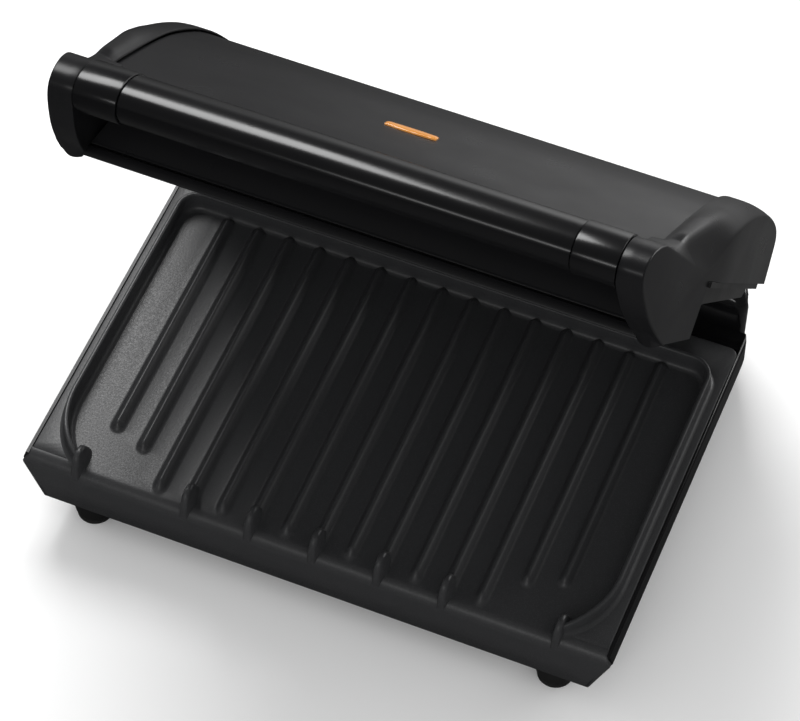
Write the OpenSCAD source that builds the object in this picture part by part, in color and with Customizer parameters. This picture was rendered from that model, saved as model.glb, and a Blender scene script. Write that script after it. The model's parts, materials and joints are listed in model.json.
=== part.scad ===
// Electric indoor grill with a hinged lid: two ribbed plates, a tub on four feet,
// and a lid that turns on a rod which can rise in its towers.
// X runs to the right, Y to the back and Z up; the origin is the middle of the
// footprint, on the surface that the feet stand on.

/* [Base] */
// Width of the housing at its widest line
base_w = 402; // [380:1:424]
// Depth of the base, front lip to back wall
base_d = 320; // [312:1:336]
// Height of the gap under the housing, which the feet fill
foot_h = 22; // [16:1:30]
// Height of the tub from its floor to its widest line
tub_h = 36; // [33:1:42]
// How far each side leans in over the height of the tub
side_lean = 14.5; // [8:0.5:18]
// Wall of the plastic housings
wall = 2.6; // [2:0.1:3.2]

/* [Lower plate] */
// Height of the plate's flat rim above the widest line
rim_rise = 7.3; // [6:0.1:9]
// Width of the housing's rim outside the plate
housing_rim = 4.6; // [4:0.1:6]
// Distance of the plate's back edge from the back wall
plate_back = 68; // [64:1:76]
// Thickness of the cast plates
plate_t = 3; // [2.4:0.1:3.6]
// Width of the flat rim at the sides, from the plate's edge to the crest of the fence
side_rim = 9.5; // [8:0.1:18]
// Depth of the flat rim at the back, from the plate's edge to the crest of the fence
back_rim = 24; // [20:1:32]
// Corner radius at the back of the well
well_corner_r = 14; // [10:1:20]
// Height of the fence above the rim
fence_h = 12.4; // [9:0.1:14]
// Thickness of the fence
fence_t = 3.2; // [2.6:0.1:4]
// Drop of the cooking floor below the rim at the back
floor_drop_back = 1.8; // [1:0.1:2.5]
// Drop of the cooking floor below the rim at the front
floor_drop_front = 3.3; // [2.6:0.1:4]
// Radius of the roll over the front edge
roll_r = 8; // [5:0.5:10]
// Height of the lip's bottom edge below the widest line
lip_drop = 33.5; // [28:0.5:33.5]

/* [Ribs] */
// Distance between two ribs
rib_pitch = 21.93; // [20:0.01:23]
// Number of ribs on a plate
rib_count = 15; // [11:2:15]
// Height of a rib
rib_h = 5.2; // [4:0.1:6]
// Width of a rib at its foot
rib_w = 9.6; // [7:0.1:11]
// Distance of the outermost ribs' front ends from the lip
rib_end_outer = 41.5; // [36:0.5:48]
// Distance of the next ribs' front ends from the lip
rib_end_inner = 33.3; // [28:0.5:36]
// Height of the fat fins' tops above the rim
fin_rise = 12.2; // [9:0.1:13]
// Thickness of a fin
fin_t = 5; // [4:0.1:6.5]
// Number of ribs from one fin to the next
fin_every = 2; // [1:1:3]
// Number of fins on the lip
fin_count = 5; // [3:2:5]

/* [Feet] */
// Radius of a foot
foot_r = 14; // [11:0.5:16]
// Distance of the front feet in from the tub's side
foot_side = 40.5; // [36:0.5:60]
// Distance of the front feet from the lip
foot_front_d = 17; // [16:0.5:30]
// Distance of the rear feet from the back wall
foot_rear_d = 38; // [30:1:60]
// Thickness of the rubber pad under a foot
pad_t = 3; // [2:0.5:4]

/* [Hinge] */
// Distance of the hinge line from the back wall
hinge_back = 26; // [23:0.5:28]
// Height of the hinge line above the widest line
hinge_h = 20; // [18:0.5:21]
// How far the hinge can float up
float_travel = 8; // [4:0.5:9]
// Radius of the hinge rod
rod_r = 4; // [3:0.1:4.5]
// Running clearance of the rod in its bushes
rod_clear = 0.06; // [0.03:0.01:0.1]
// Width of a tower
tower_w = 51; // [50:0.5:52]
// Depth of a tower, front face to back wall
tower_depth = 54.5; // [53:0.5:55]
// Height of the towers above the widest line
tower_h = 40; // [38.5:0.5:42]
// Radius of the towers' front and back top edges
tower_r = 12; // [9:0.5:13]
// Width of a slide block
block_w = 9; // [7:0.5:10]
// Half size of a slide block
block_half = 7.5; // [6.5:0.1:8]
// Width of a hinge arm
arm_w = 28; // [22:1:32]
// Radius of a hinge arm's barrel
barrel_r = 10; // [9:0.1:10.5]

/* [Lid] */
// Angle of the lid's side line above level, as it stands half open
lid_angle = 51.7; // [20:0.1:70]
// Angle of the same line when the lid is shut
shut_angle = 4.4; // [4.2:0.1:6]
// Distance of the hinge behind the lid's datum, along the lid
arm_reach = 61.1; // [58:0.1:64]
// Depth of the hinge below the lid's datum, square to the lid
arm_drop = 5.4; // [4:0.1:7]
// How far each side of the lid lies inside the base's widest line
lid_side_gap = 0.2; // [0:0.1:3]
// How far the lid's nose tapers in on each side
nose_taper = 19.8; // [12:0.1:22]
// Width of an end cap
cap_w = 35.5; // [33:0.1:40]
// How far the cover lies below the end caps
cover_step = 2.4; // [1.8:0.1:2.6]
// Wall of the lid's mouldings
lid_wall = 2.4; // [2:0.1:3]
// Width of a collar at the end of the handle
collar_w = 27; // [20:0.1:50]
// Step up from the handle to its collars
collar_step = 1; // [0.5:0.1:1.6]
// Gap between neighbouring mouldings
seam = 0.3; // [0.2:0.05:0.5]
// Gap between the two plates' ribs when the lid is shut
rib_gap = 2; // [1.6:0.1:4]
// Half length of the indicator lens
lens_half_l = 16.6; // [12:0.1:18]
// Half width of the indicator lens at its middle
lens_half_w = 4.5; // [3:0.1:5]
// Height of the lens above the cover
lens_rise = 1.5; // [0.5:0.1:2]
// Distance of the lens to the right of the centre plane
lens_x = 0; // [-30:1:30]

/* [Heating] */
// Radius of the heating tubes
tube_r = 3.3; // [2.6:0.1:3.6]
// Distance of the heating loop in from the plate's screw posts
loop_gap = 25; // [20:1:45]
// Bend radius of the heating loop
loop_r = 24; // [18:1:30]
// Radius of the bore in the cord inlet
inlet_bore_r = 3.6; // [3:0.1:4.2]

/* [Hidden] */
$fn = 48;

// Shared sizes
half_w = base_w / 2;
widest_z = foot_h + tub_h;
floor_half_w = half_w - side_lean;
plate_half_w = half_w - housing_rim;
plate_d = base_d - plate_back;
plate_corner_r = 6;
well_half_w = plate_half_w - side_rim;
well_d = plate_d - back_rim;
hinge_d = base_d - hinge_back;
tower_d = base_d - tower_depth;
tower_in = half_w - tower_w;
rod_half = tower_in + 15;
lid_half_w = half_w - lid_side_gap;
nose_half_w = lid_half_w - nose_taper;
cover_half_w = lid_half_w - cap_w;
grip_half_w = cover_half_w - collar_w - seam;
foot_x = half_w - foot_side;
tub_front_d = plate_t + seam;
rim_under = rim_rise - plate_t;
well_back_z = rim_rise - floor_drop_back;
well_front_z = rim_rise - floor_drop_front;
boss_x = well_half_w - 36.9;
boss_front_d = 72;
boss_back_d = well_d - 16;
loop_half_w = boss_x - loop_gap;
post_z = -8;
shield_z = -16;
boss_r = 5.5;
shoulder_r = 8;
screw_r = 1.7;
screw_clear = 0.15;
head_r = 3.4;
head_h = 2.4;
sink_z = -24;
hatch_half_w = boss_x - 32;
hatch_front_d = 66;
hatch_back_d = well_d + 10;
hatch_lap = 6;
hatch_screw_x = [-hatch_half_w + 14, 0, hatch_half_w - 14];
deck_h = 7;
deck_d = plate_d + seam;
deck_screw_x = tower_in - 54;
deck_screw_d = base_d - 14;
rear_foot_x = half_w - 63;
rear_foot_d = base_d - foot_rear_d;
inlet_x = 60;
inlet_z = -18;
inlet_r = 8;
lid_rear = 28;
front_a = hinge_d - arm_reach;
// The lid's side view is drawn for one depth of the base; a deeper base lengthens its roof
drawn_d = 320;
drawn_panel_a = 236;
function run_a(a) = a + (base_d - drawn_d) * max(0, min(1, a / drawn_panel_a));
function run_view(p) = [for (q = p) [run_a(q[0]), q[1]]];
shut_gap_z = well_back_z + rib_h + rib_gap;
upper_under_z = shut_gap_z + rib_h;
upper_half_w = well_half_w - fence_t / 2 - 2.4;
upper_front_d = 20;
upper_back_d = well_d - fence_t / 2 - 2.4;
flange_t = 3.6;
arm_x = tower_in - 1.5 - arm_w;
bush_t = 1.6;

// Frames: the base's own axes, the lid's axes (a runs to the lid's front, b runs
// up out of it), and the base's axes carried up with the lid
module base_axes() translate([0, -base_d / 2, widest_z]) children();
module lid_axes()
  base_axes() translate([0, hinge_d, hinge_h]) rotate([-lid_angle, 0, 0])
    translate([0, -arm_reach, arm_drop]) children();
module lifted_axes()
  base_axes() translate([0, hinge_d, hinge_h]) rotate([shut_angle - lid_angle, 0, 0])
    translate([0, -hinge_d, -hinge_h]) children();

// Extrusions of a side view (depth, height), a front view (width, height) and the
// lid's side view (a, b)
module across(x0, x1) translate([x0, 0, 0]) rotate([90, 0, 90]) linear_extrude(x1 - x0) children();
module along(d0, d1) translate([0, d1, 0]) rotate([90, 0, 0]) linear_extrude(d1 - d0) children();
module lid_across(x0, x1) across(x0, x1) mirror([1, 0]) children();
module lid_along(a0, a1) translate([0, -a0, 0]) rotate([90, 0, 0]) linear_extrude(a1 - a0) children();
module both_sides() { children(); mirror([1, 0, 0]) children(); }
module tube(r, bore, h) difference() { cylinder(r = r, h = h); translate([0, 0, -1]) cylinder(r = bore, h = h + 2); }
module slab(x0, x1, d0, d1, z0, z1) translate([x0, d0, z0]) cube([x1 - x0, d1 - d0, z1 - z0]);

// Curves
function bezier(p, t) = pow(1 - t, 3) * p[0] + 3 * t * pow(1 - t, 2) * p[1]
  + 3 * t * t * (1 - t) * p[2] + t * t * t * p[3];
function bezier_run(p, n) = [for (i = [0:n]) bezier(p, i / n)];
function arc_run(c, r, a0, a1, n) = [for (i = [0:n]) c + r * [cos(a0 + (a1 - a0) * i / n), sin(a0 + (a1 - a0) * i / n)]];
function spline(p, i, t) =
  let (a = p[max(i - 1, 0)], b = p[i], c = p[i + 1], d = p[min(i + 2, len(p) - 1)])
  0.5 * (2 * b + (c - a) * t + (2 * a - 5 * b + 4 * c - d) * t * t + (3 * b - a - 3 * c + d) * t * t * t);
function spline_run(p, n) = [for (i = [0:len(p) - 2]) for (k = [0:n - 1]) spline(p, i, k / n), p[len(p) - 1]];
function flipped(p) = [for (i = [len(p) - 1:-1:0]) [-p[i][0], p[i][1]]];
function sunk(p, step) = [for (q = p) [q[0], q[1] - step]];

// ---- Base housings ----

// Right half of the tub's plan, at one inset from its widest line
function tub_side(inset) = concat(
  [[half_w - inset, tub_front_d + max(inset, 0)]],
  bezier_run([[half_w - inset, base_d - 74], [half_w - inset, base_d - 56],
    [half_w - 21 - inset, base_d - 2 - inset], [half_w - 66, base_d - inset]], 10));
module tub_plan(inset) polygon(concat(tub_side(inset), flipped(tub_side(inset))));
module tub_front_view(inset, z0, top)
  polygon([[-floor_half_w + inset, z0], [floor_half_w - inset, z0], [half_w - inset, 0],
    [half_w - 2.2 - inset, top], [-half_w + 2.2 + inset, top], [-half_w + inset, 0]]);
module tub_block(inset, z0, top)
  intersection() {
    along(0, base_d) tub_front_view(inset, z0, top);
    translate([0, 0, z0]) linear_extrude(top - z0) tub_plan(inset);
  }
module tub_boss(x, d)
  translate([x, d, -tub_h]) {
    tube(shoulder_r, head_r + screw_clear, sink_z + tub_h);
    translate([0, 0, sink_z + tub_h]) tube(shoulder_r, screw_r + screw_clear, shield_z - sink_z);
    translate([0, 0, shield_z + tub_h]) tube(boss_r, screw_r + screw_clear, post_z - shield_z);
  }
module each_boss() for (x = [-boss_x, boss_x]) for (d = [boss_front_d, boss_back_d]) translate([x, d, 0]) children();
module each_foot() {
  for (x = [-foot_x, foot_x]) translate([x, foot_front_d, 0]) children();
  for (x = [-rear_foot_x, rear_foot_x]) translate([x, rear_foot_d, 0]) children();
}
module each_deck_screw() for (x = [-deck_screw_x, deck_screw_x]) translate([x, deck_screw_d, 0]) children();
module each_hatch_screw()
  for (x = hatch_screw_x) for (d = [hatch_front_d - hatch_lap / 2, hatch_back_d + hatch_lap / 2]) translate([x, d, 0]) children();

module base_housing() color("#17181a") base_axes() {
  difference() {
    tub_block(0, -tub_h, rim_rise - 0.3);
    tub_block(wall, -tub_h + wall, rim_rise + 1);
    slab(-plate_half_w - seam, plate_half_w + seam, 0, tower_d, rim_under - seam, rim_rise + 1);
    slab(-plate_half_w - seam, plate_half_w + seam, 0, roll_r + 1, well_front_z - roll_r - seam, rim_rise + 1);
    slab(-hatch_half_w, hatch_half_w, hatch_front_d, hatch_back_d, -tub_h - 1, 0);
    slab(-half_w, half_w, tower_d - seam, base_d + 1, -seam, rim_rise + 1);
    each_boss() translate([0, 0, -tub_h - 1]) cylinder(r = shoulder_r - 1, h = wall + 2);
    each_foot() translate([0, 0, -tub_h - 1]) cylinder(r = screw_r + screw_clear, h = wall + 2);
    each_deck_screw() translate([0, 0, -tub_h - 1]) cylinder(r = screw_r + screw_clear, h = wall + 2);
    each_hatch_screw() translate([0, 0, -tub_h - 1]) cylinder(r = screw_r + screw_clear, h = wall + 2);
    translate([inlet_x, base_d + 1, inlet_z]) rotate([90, 0, 0]) cylinder(r = inlet_r + 0.1, h = wall + 4);
  }
  for (x = [-boss_x, boss_x]) for (d = [boss_front_d, boss_back_d]) tub_boss(x, d);
  each_deck_screw() translate([0, 0, wall - tub_h]) tube(boss_r, screw_r + screw_clear, tub_h - wall - seam);
}

module base_bottom_cover() color("#1b1c1e") base_axes() difference() {
  slab(-hatch_half_w - hatch_lap, hatch_half_w + hatch_lap, hatch_front_d - hatch_lap,
    hatch_back_d + hatch_lap, -tub_h - 2, -tub_h);
  each_hatch_screw() translate([0, 0, -tub_h - 3]) cylinder(r = screw_r + screw_clear, h = 4);
  for (x = [-80:20:80]) for (d = [100, 165]) slab(x - 3, x + 3, d, d + 40, -tub_h - 3, -tub_h + 1);
}

// The towers and the low deck between them, in one moulding
module tower_side_view(inset)
  polygon(concat([[tower_d + inset, 0 - 1]],
    arc_run([tower_d + tower_r, tower_h - tower_r], tower_r - inset, 180, 90, 6),
    arc_run([base_d - tower_r - 4, tower_h - tower_r], tower_r - inset, 90, 30, 4),
    [[base_d - inset, 10], [base_d - inset, -1]]));
module tower_front_view(inset)
  polygon([[tower_in + inset, -1], [half_w - inset, -1], [half_w - inset, 0],
    [half_w - 10 - inset, tower_h], [tower_in + inset, tower_h]]);
module tower(inset) intersection() {
  across(tower_in, half_w) tower_side_view(inset);
  along(tower_d, base_d) tower_front_view(inset);
  translate([0, 0, -1]) linear_extrude(tower_h + 1) tub_plan(inset);
}
module block_slot() {
  slot_half = rod_r + 0.4;
  translate([tower_in - 1, hinge_d, hinge_h]) rotate([0, 90, 0]) cylinder(r = slot_half, h = wall + 3);
  translate([tower_in - 1, hinge_d, hinge_h + float_travel]) rotate([0, 90, 0]) cylinder(r = slot_half, h = wall + 3);
  slab(tower_in - 1, tower_in + wall + 2, hinge_d - slot_half, hinge_d + slot_half, hinge_h, hinge_h + float_travel);
}
module rear_cover() color("#101113") base_axes() {
  difference() {
    union() {
      both_sides() tower(0);
      intersection() {
        across(-plate_half_w, plate_half_w) polygon([[deck_d, -1], [deck_d, deck_h], [base_d - 5, deck_h], [base_d, deck_h - 5], [base_d, -1]]);
        translate([0, 0, -1]) linear_extrude(deck_h + 1) {
          tub_plan(wall + seam);
          intersection() {
            tub_plan(0);
            translate([-half_w, tower_d]) square([base_w, tower_depth]);
          }
        }
      }
    }
    both_sides() tower(wall);
    slab(-plate_half_w + wall, plate_half_w - wall, deck_d + wall, base_d - wall, -2, deck_h - wall);
    slab(-half_w, half_w, 0, base_d + 1, -2, 0);
    both_sides() block_slot();
  }
  // Channels that guide the slide blocks
  channel_x0 = tower_in + wall - 0.5;
  both_sides() for (side = [-1, 1])
    translate([channel_x0, hinge_d + side * (block_half + 0.15 + 1) - 1, 0])
      cube([block_w + 1.5, 2, hinge_h + float_travel + block_half - 1]);
  both_sides() slab(channel_x0, channel_x0 + block_w + 1.5, hinge_d - block_half - 0.1,
    hinge_d + block_half + 0.1, hinge_h - block_half - 3, hinge_h - block_half - 0.05);
  each_deck_screw() tube(boss_r, screw_r - 0.2, deck_h - wall);
}

// ---- Lower plate ----

// Right half of the fence's line, moved in by one inset
function fence_bend(inset) = [[well_half_w - inset, 58], [well_half_w + 1 - inset, 31],
  [well_half_w - 12 - inset * 0.8, 14 + inset * 0.6], [well_half_w - 23.4 - inset * 0.5, 8 + inset * 0.8]];
function fence_side(inset) = concat(
  bezier_run([fence_bend(inset)[3], fence_bend(inset)[2], fence_bend(inset)[1], fence_bend(inset)[0]], 12),
  arc_run([well_half_w - well_corner_r, well_d - well_corner_r], well_corner_r - inset, 0, 90, 8));
module well_plan(inset) polygon(concat(fence_side(inset), flipped(fence_side(inset))));
fin_x = well_half_w - 23.4;

// Side view of the sheet, from its back edge over the roll to the lip's edge
module sheet_view(back_d, back_z, front_z, t)
  polygon(concat([[back_d, back_z]],
    arc_run([roll_r, front_z - roll_r], roll_r, 90, 180, 8),
    [[0, -lip_drop], [t, -lip_drop]],
    arc_run([roll_r, front_z - roll_r], roll_r - t, 180, 90, 8),
    [[back_d, back_z - t]]));
module lip_front_view()
  polygon([[-half_w + side_lean, -tub_h], [half_w - side_lean, -tub_h], [half_w - 0.6, 0],
    [plate_half_w, rim_rise], [plate_half_w, rim_rise + 20], [-plate_half_w, rim_rise + 20],
    [-plate_half_w, rim_rise], [-half_w + 0.6, 0]]);
module rib_view() polygon([[-rib_w / 2, -1], [-rib_w / 2, 0], [-rib_w * 0.31, rib_h * 0.5],
  [-rib_w * 0.17, rib_h * 0.9], [0, rib_h], [rib_w * 0.17, rib_h * 0.9], [rib_w * 0.31, rib_h * 0.5],
  [rib_w / 2, 0], [rib_w / 2, -1]]);
function rib_start(i) = let (k = (rib_count - 1) / 2 - abs(i)) k == 0 ? rib_end_outer : k == 1 ? rib_end_inner : roll_r;
rib_half = (rib_count - 1) / 2;
fin_half = (fin_count - 1) / 2;
floor_tilt = atan((well_back_z - well_front_z) / (well_d - roll_r));
module fin(x)
  across(x - fin_t / 2, x + fin_t / 2)
    polygon(concat([[plate_t, well_front_z - roll_r], [0, -roll_r], [3.2, rim_rise + fin_rise - 3]],
      arc_run([6.2, rim_rise + fin_rise - 3], 3, 180, 60, 4),
      [[17, well_front_z + rib_h - 1], [17, well_front_z - 1], [roll_r, well_front_z - roll_r]]));

module lower_grill_plate() color("#3a3c3f") base_axes() {
  difference() {
    intersection() {
      across(-half_w, half_w) sheet_view(plate_d, rim_rise, rim_rise, plate_t);
      union() {
        along(-1, plate_t) lip_front_view();
        along(plate_t - 0.1, plate_d - plate_corner_r) square([2 * plate_half_w, 4 * tub_h], center = true);
        along(plate_d - plate_corner_r - 1, plate_d)
          square([2 * (plate_half_w - plate_corner_r + 0.5), 4 * tub_h], center = true);
        for (x = [-1, 1]) translate([x * (plate_half_w - plate_corner_r), plate_d - plate_corner_r, -tub_h])
          cylinder(r = plate_corner_r, h = 2 * tub_h);
      }
    }
    translate([0, 0, -1]) linear_extrude(rim_rise + 2) well_plan(fence_t / 2 - 0.4);
    slab(-fin_x, fin_x, -1, 30, -roll_r + 3, rim_rise + 1);
  }
  intersection() {
    across(-fin_x - 25, fin_x + 25) sheet_view(well_d, well_back_z, well_front_z, plate_t);
    union() {
      translate([0, 0, -tub_h]) linear_extrude(2 * tub_h) well_plan(0);
      slab(-fin_x, fin_x, -1, 30, -roll_r + 2, rim_rise + 1);
    }
  }
  // Fence
  difference() {
    translate([0, 0, rim_under]) linear_extrude(plate_t + fence_h) difference() {
      well_plan(-fence_t / 2);
      well_plan(fence_t / 2);
      translate([-fin_x + 2, 0]) square([2 * fin_x - 4, 30]);
    }
    across(-half_w, half_w) polygon([[0, rim_rise + 6], [4, rim_rise + fence_h + 1], [0, rim_rise + fence_h + 1]]);
  }
  for (i = [-rib_half:rib_half])
    translate([0, 0, well_front_z]) rotate([floor_tilt, 0, 0])
      along(rib_start(i), well_d - 4) translate([i * rib_pitch, 0]) rib_view();
  for (i = [-fin_half:fin_half]) fin(i * fin_every * rib_pitch);
  for (x = [-fin_x, fin_x]) fin(x);
  each_boss() translate([0, 0, post_z]) tube(boss_r, screw_r - 0.2, rim_under - post_z - 1);
}

// ---- Feet and fasteners ----
module foot(x, d) color("#0c0c0d") base_axes() translate([x, d, -tub_h - foot_h + pad_t]) difference() {
  cylinder(r1 = foot_r - 1.5, r2 = foot_r, h = foot_h - pad_t);
  translate([0, 0, 4]) cylinder(r = screw_r - 0.2, h = foot_h);
}
module foot_pads() color("#060606") base_axes()
  each_foot() translate([0, 0, -tub_h - foot_h]) cylinder(r = foot_r - 2, h = pad_t);
module screw(length) {
  cylinder(r = screw_r, h = length);
  translate([0, 0, -head_h]) difference() {
    cylinder(r = head_r, h = head_h);
    for (turn = [0, 90]) rotate([0, 0, turn]) translate([-2, -0.5, -1]) cube([4, 1, 2]);
  }
}
bite_clear = 0.3;
module bite(length) { screw(head_h); translate([0, 0, head_h]) cylinder(r = screw_r - bite_clear, h = length - head_h); }
module foot_screws() color("#8d9094") base_axes()
  each_foot() translate([0, 0, wall - tub_h]) rotate([180, 0, 0]) bite(12);
module base_cover_screws() color("#8d9094") base_axes()
  each_hatch_screw() translate([0, 0, -tub_h - 2]) bite(8);
module lower_plate_screws() color("#8d9094") base_axes()
  each_boss() translate([0, 0, sink_z]) {
    screw(post_z - sink_z);
    cylinder(r = screw_r - bite_clear, h = post_z - sink_z + 7);
  }
module rear_cover_screws() color("#8d9094") base_axes()
  each_deck_screw() translate([0, 0, -tub_h]) {
    screw(tub_h - seam);
    cylinder(r = screw_r - bite_clear, h = tub_h + 3);
  }

// ---- Heating and wiring in the base ----
loop_front_d = 55;
loop_back_d = well_d - 33;
tail_x = 22;
module bend(x, d, turn) translate([x, d, 0]) rotate([0, 0, turn]) rotate_extrude(angle = 90) translate([loop_r, 0]) circle(tube_r);
module heating_loop(front_d, back_d) {
  reach = loop_half_w - loop_r;
  translate([-reach, front_d, 0]) rotate([0, 90, 0]) cylinder(r = tube_r, h = 2 * reach);
  for (x = [-loop_half_w, loop_half_w])
    translate([x, front_d + loop_r, 0]) rotate([-90, 0, 0]) cylinder(r = tube_r, h = back_d - front_d - 2 * loop_r);
  bend(-reach, front_d + loop_r, 180);
  bend(reach, front_d + loop_r, 270);
  bend(reach, back_d - loop_r, 0);
  bend(-reach, back_d - loop_r, 90);
  for (x = [-reach, tail_x]) translate([x, back_d, 0]) rotate([0, 90, 0]) cylinder(r = tube_r, h = reach - tail_x);
  for (x = [-tail_x, tail_x - 8]) translate([x, back_d, 0]) rotate([0, 90, 0]) cylinder(r = tube_r * 0.5, h = 8);
}
shield_half_w = boss_x + 12;
lower_tube_z = well_front_z - plate_t - tube_r - 0.1;
module lower_heating_element() color("#6d6a66") base_axes() translate([0, 0, lower_tube_z]) heating_loop(loop_front_d, loop_back_d);
clamp_d = [loop_front_d + 43, loop_back_d - 43];
module clamp(x, d) translate([x, d, 0]) difference() {
  slab(-7, 7, -5, 5, -tube_r - 1.4, tube_r);
  slab(-tube_r - 0.15, tube_r + 0.15, -6, 6, -tube_r - 0.15, tube_r + 1);
}
module each_clamp() for (x = [-loop_half_w, loop_half_w]) for (d = clamp_d) clamp(x, d);
module lower_element_clamps() color("#a9abae") base_axes() translate([0, 0, lower_tube_z]) each_clamp();
module lower_heat_shield() color("#b4b6b8") base_axes() difference() {
  slab(-shield_half_w, shield_half_w, 34, well_d, shield_z, shield_z + 4);
  slab(-shield_half_w + 0.8, shield_half_w - 0.8, 34.8, well_d - 0.8, shield_z + 0.8, shield_z + 5);
  each_boss() translate([0, 0, shield_z - 1]) cylinder(r = boss_r + 0.2, h = 8);
}
stat_x = 0;
stat_d = 125;
fuse_x = 48;
plate_under_mid = well_front_z - plate_t;
module thermostat() color("#c9b68a") base_axes() translate([stat_x, stat_d, plate_under_mid]) {
  translate([0, 0, -6]) cylinder(r = 8, h = 6);
  for (x = [-4, 4]) translate([x - 3, -0.4, -9]) cube([6, 0.8, 3]);
}
module thermal_fuse() color("#d8d2c4") base_axes() translate([fuse_x, stat_d, plate_under_mid - 2.6]) {
  translate([-6, 0, 0]) rotate([0, 90, 0]) cylinder(r = 2.2, h = 12);
  translate([-10, 0, 0]) rotate([0, 90, 0]) cylinder(r = 0.7, h = 20);
}
block_d = base_d - 52;
block_z = wall - tub_h;
module terminal_block() color("#e8e4da") base_axes() difference() {
  slab(inlet_x - 18, inlet_x + 18, block_d - 8, block_d + 8, block_z, block_z + 12);
  for (x = [-12, 0, 12]) {
    translate([inlet_x + x, block_d + 9, block_z + 5]) rotate([90, 0, 0]) cylinder(r = 1.9, h = 18);
    translate([inlet_x + x, block_d, block_z + 5]) cylinder(r = 2.4, h = 8);
  }
}
// A wire through a short list of points: one ring of eight corners at each point
function unit(v) = v / norm(v);
function wire_way(p, i) = unit((i < len(p) - 1 ? unit(p[i + 1] - p[i]) : [0, 0, 0]) + (i > 0 ? unit(p[i] - p[i - 1]) : [0, 0, 0]));
function wire_side(p, i) = unit(cross(wire_way(p, i), [0.31, 0.17, 1]));
module wire(p, r) {
  sides = 8;
  last = (len(p) - 1) * sides;
  polyhedron(
    points = [for (i = [0:len(p) - 1]) for (k = [0:sides - 1])
      p[i] + r * (cos(360 * k / sides) * wire_side(p, i) + sin(360 * k / sides) * cross(wire_way(p, i), wire_side(p, i)))],
    faces = concat(
      [[for (k = [0:sides - 1]) k], [for (k = [sides - 1:-1:0]) last + k]],
      [for (i = [0:sides:last - 1]) for (k = [0:sides - 1]) [i + k, i + sides + k, i + (k + 1) % sides]],
      [for (i = [0:sides:last - 1]) for (k = [0:sides - 1]) [i + (k + 1) % sides, i + sides + k, i + sides + (k + 1) % sides]]));
}
wire_r = 1.3;
module base_wiring() color("#b9b2a6") base_axes() {
  wire([[inlet_x - 12, block_d - 2, block_z + 5], [inlet_x - 12, well_d + 12, block_z + 5], [inlet_x - 14, well_d + 5, -12],
    [tail_x - 8, loop_back_d + 9, lower_tube_z], [tail_x - 8, back_gap(), lower_tube_z]], wire_r);
  wire([[inlet_x, block_d - 2, block_z + 5], [inlet_x, well_d + 14, block_z + 5], [inlet_x + 4, well_d + 4, -10],
    [fuse_x + 14, 150, -8], [fuse_x + 11.5, stat_d, plate_under_mid - 2.6]], wire_r);
  wire([[fuse_x - 11.5, stat_d, plate_under_mid - 2.6], [stat_x + 16, stat_d, -6.5], [stat_x + 8.6, stat_d, -6.5]], wire_r);
  wire([[stat_x - 8.6, stat_d, -6.5], [-20, 150, -9], [-20, loop_back_d - 5, -9], [-tail_x + 8, back_gap() + 2, -7], [-tail_x + 8, back_gap(), lower_tube_z]], wire_r);
}
function back_gap() = loop_back_d + tube_r * 0.5 + wire_r + 0.1;
module cord_inlet() color("#0d0d0e") base_axes() translate([inlet_x, base_d, inlet_z]) rotate([90, 0, 0]) {
  tube(inlet_r, inlet_bore_r, wall);
  translate([0, 0, wall]) tube(inlet_r + 3, inlet_bore_r, 6);
}

// ---- Hinge ----
module hinge_rod() color("#b8babd") base_axes() translate([-rod_half, hinge_d, hinge_h]) rotate([0, 90, 0]) cylinder(r = rod_r, h = 2 * rod_half);
module slide_block() translate([tower_in + wall + 0.3, hinge_d, hinge_h]) difference() {
  slab(0, block_w, -block_half, block_half, -block_half, block_half);
  translate([-1, 0, 0]) rotate([0, 90, 0]) cylinder(r = rod_r + rod_clear, h = block_w + 2);
}
module slide_block_right() color("#d9d6cd") base_axes() slide_block();
module slide_block_left() color("#d9d6cd") base_axes() mirror([1, 0, 0]) slide_block();
clip_x = tower_in + wall + 0.3 + block_w + 0.3;
module rod_clips() color("#9a9da1") base_axes() both_sides()
  translate([clip_x, hinge_d, hinge_h]) rotate([0, 90, 0]) tube(rod_r + 2.6, rod_r + 0.02, 1);
module hinge_sleeve() color("#141516") base_axes()
  translate([-arm_x + 0.3, hinge_d, hinge_h]) rotate([0, 90, 0]) tube(rod_r + 2.4, rod_r + 0.05, 2 * arm_x - 0.6);
module arm_view() {
  polygon([[-arm_reach, barrel_r - arm_drop - 0.6], [-34, 10], [40, 10], [40, 0], [-12, 0], [-53, -arm_drop - 6], [-arm_reach, -arm_drop]]);
}
module hinge_arm() lid_axes() difference() {
  union() {
    lid_across(arm_x, arm_x + arm_w) arm_view();
    translate([arm_x, arm_reach, -arm_drop]) rotate([0, 90, 0]) cylinder(r = barrel_r, h = arm_w);
  }
  translate([arm_x - 1, arm_reach, -arm_drop]) rotate([0, 90, 0]) cylinder(r = rod_r + bush_t + 0.02, h = arm_w + 2);
  each_arm_screw() translate([0, 0, -1]) cylinder(r = screw_r - 0.2, h = 9);
}
module each_arm_screw() for (a = [2, 28]) translate([arm_x + arm_w / 2, -a, 0]) children();
module arm_bush() lid_axes() translate([arm_x, arm_reach, -arm_drop]) rotate([0, 90, 0]) tube(rod_r + bush_t, rod_r + rod_clear, arm_w);
module hinge_arm_right() color("#2a2c2e") hinge_arm();
module hinge_arm_left() color("#2a2c2e") mirror([1, 0, 0]) hinge_arm();
module arm_bush_right() color("#c9c2a8") arm_bush();
module arm_bush_left() color("#c9c2a8") mirror([1, 0, 0]) arm_bush();

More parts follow.
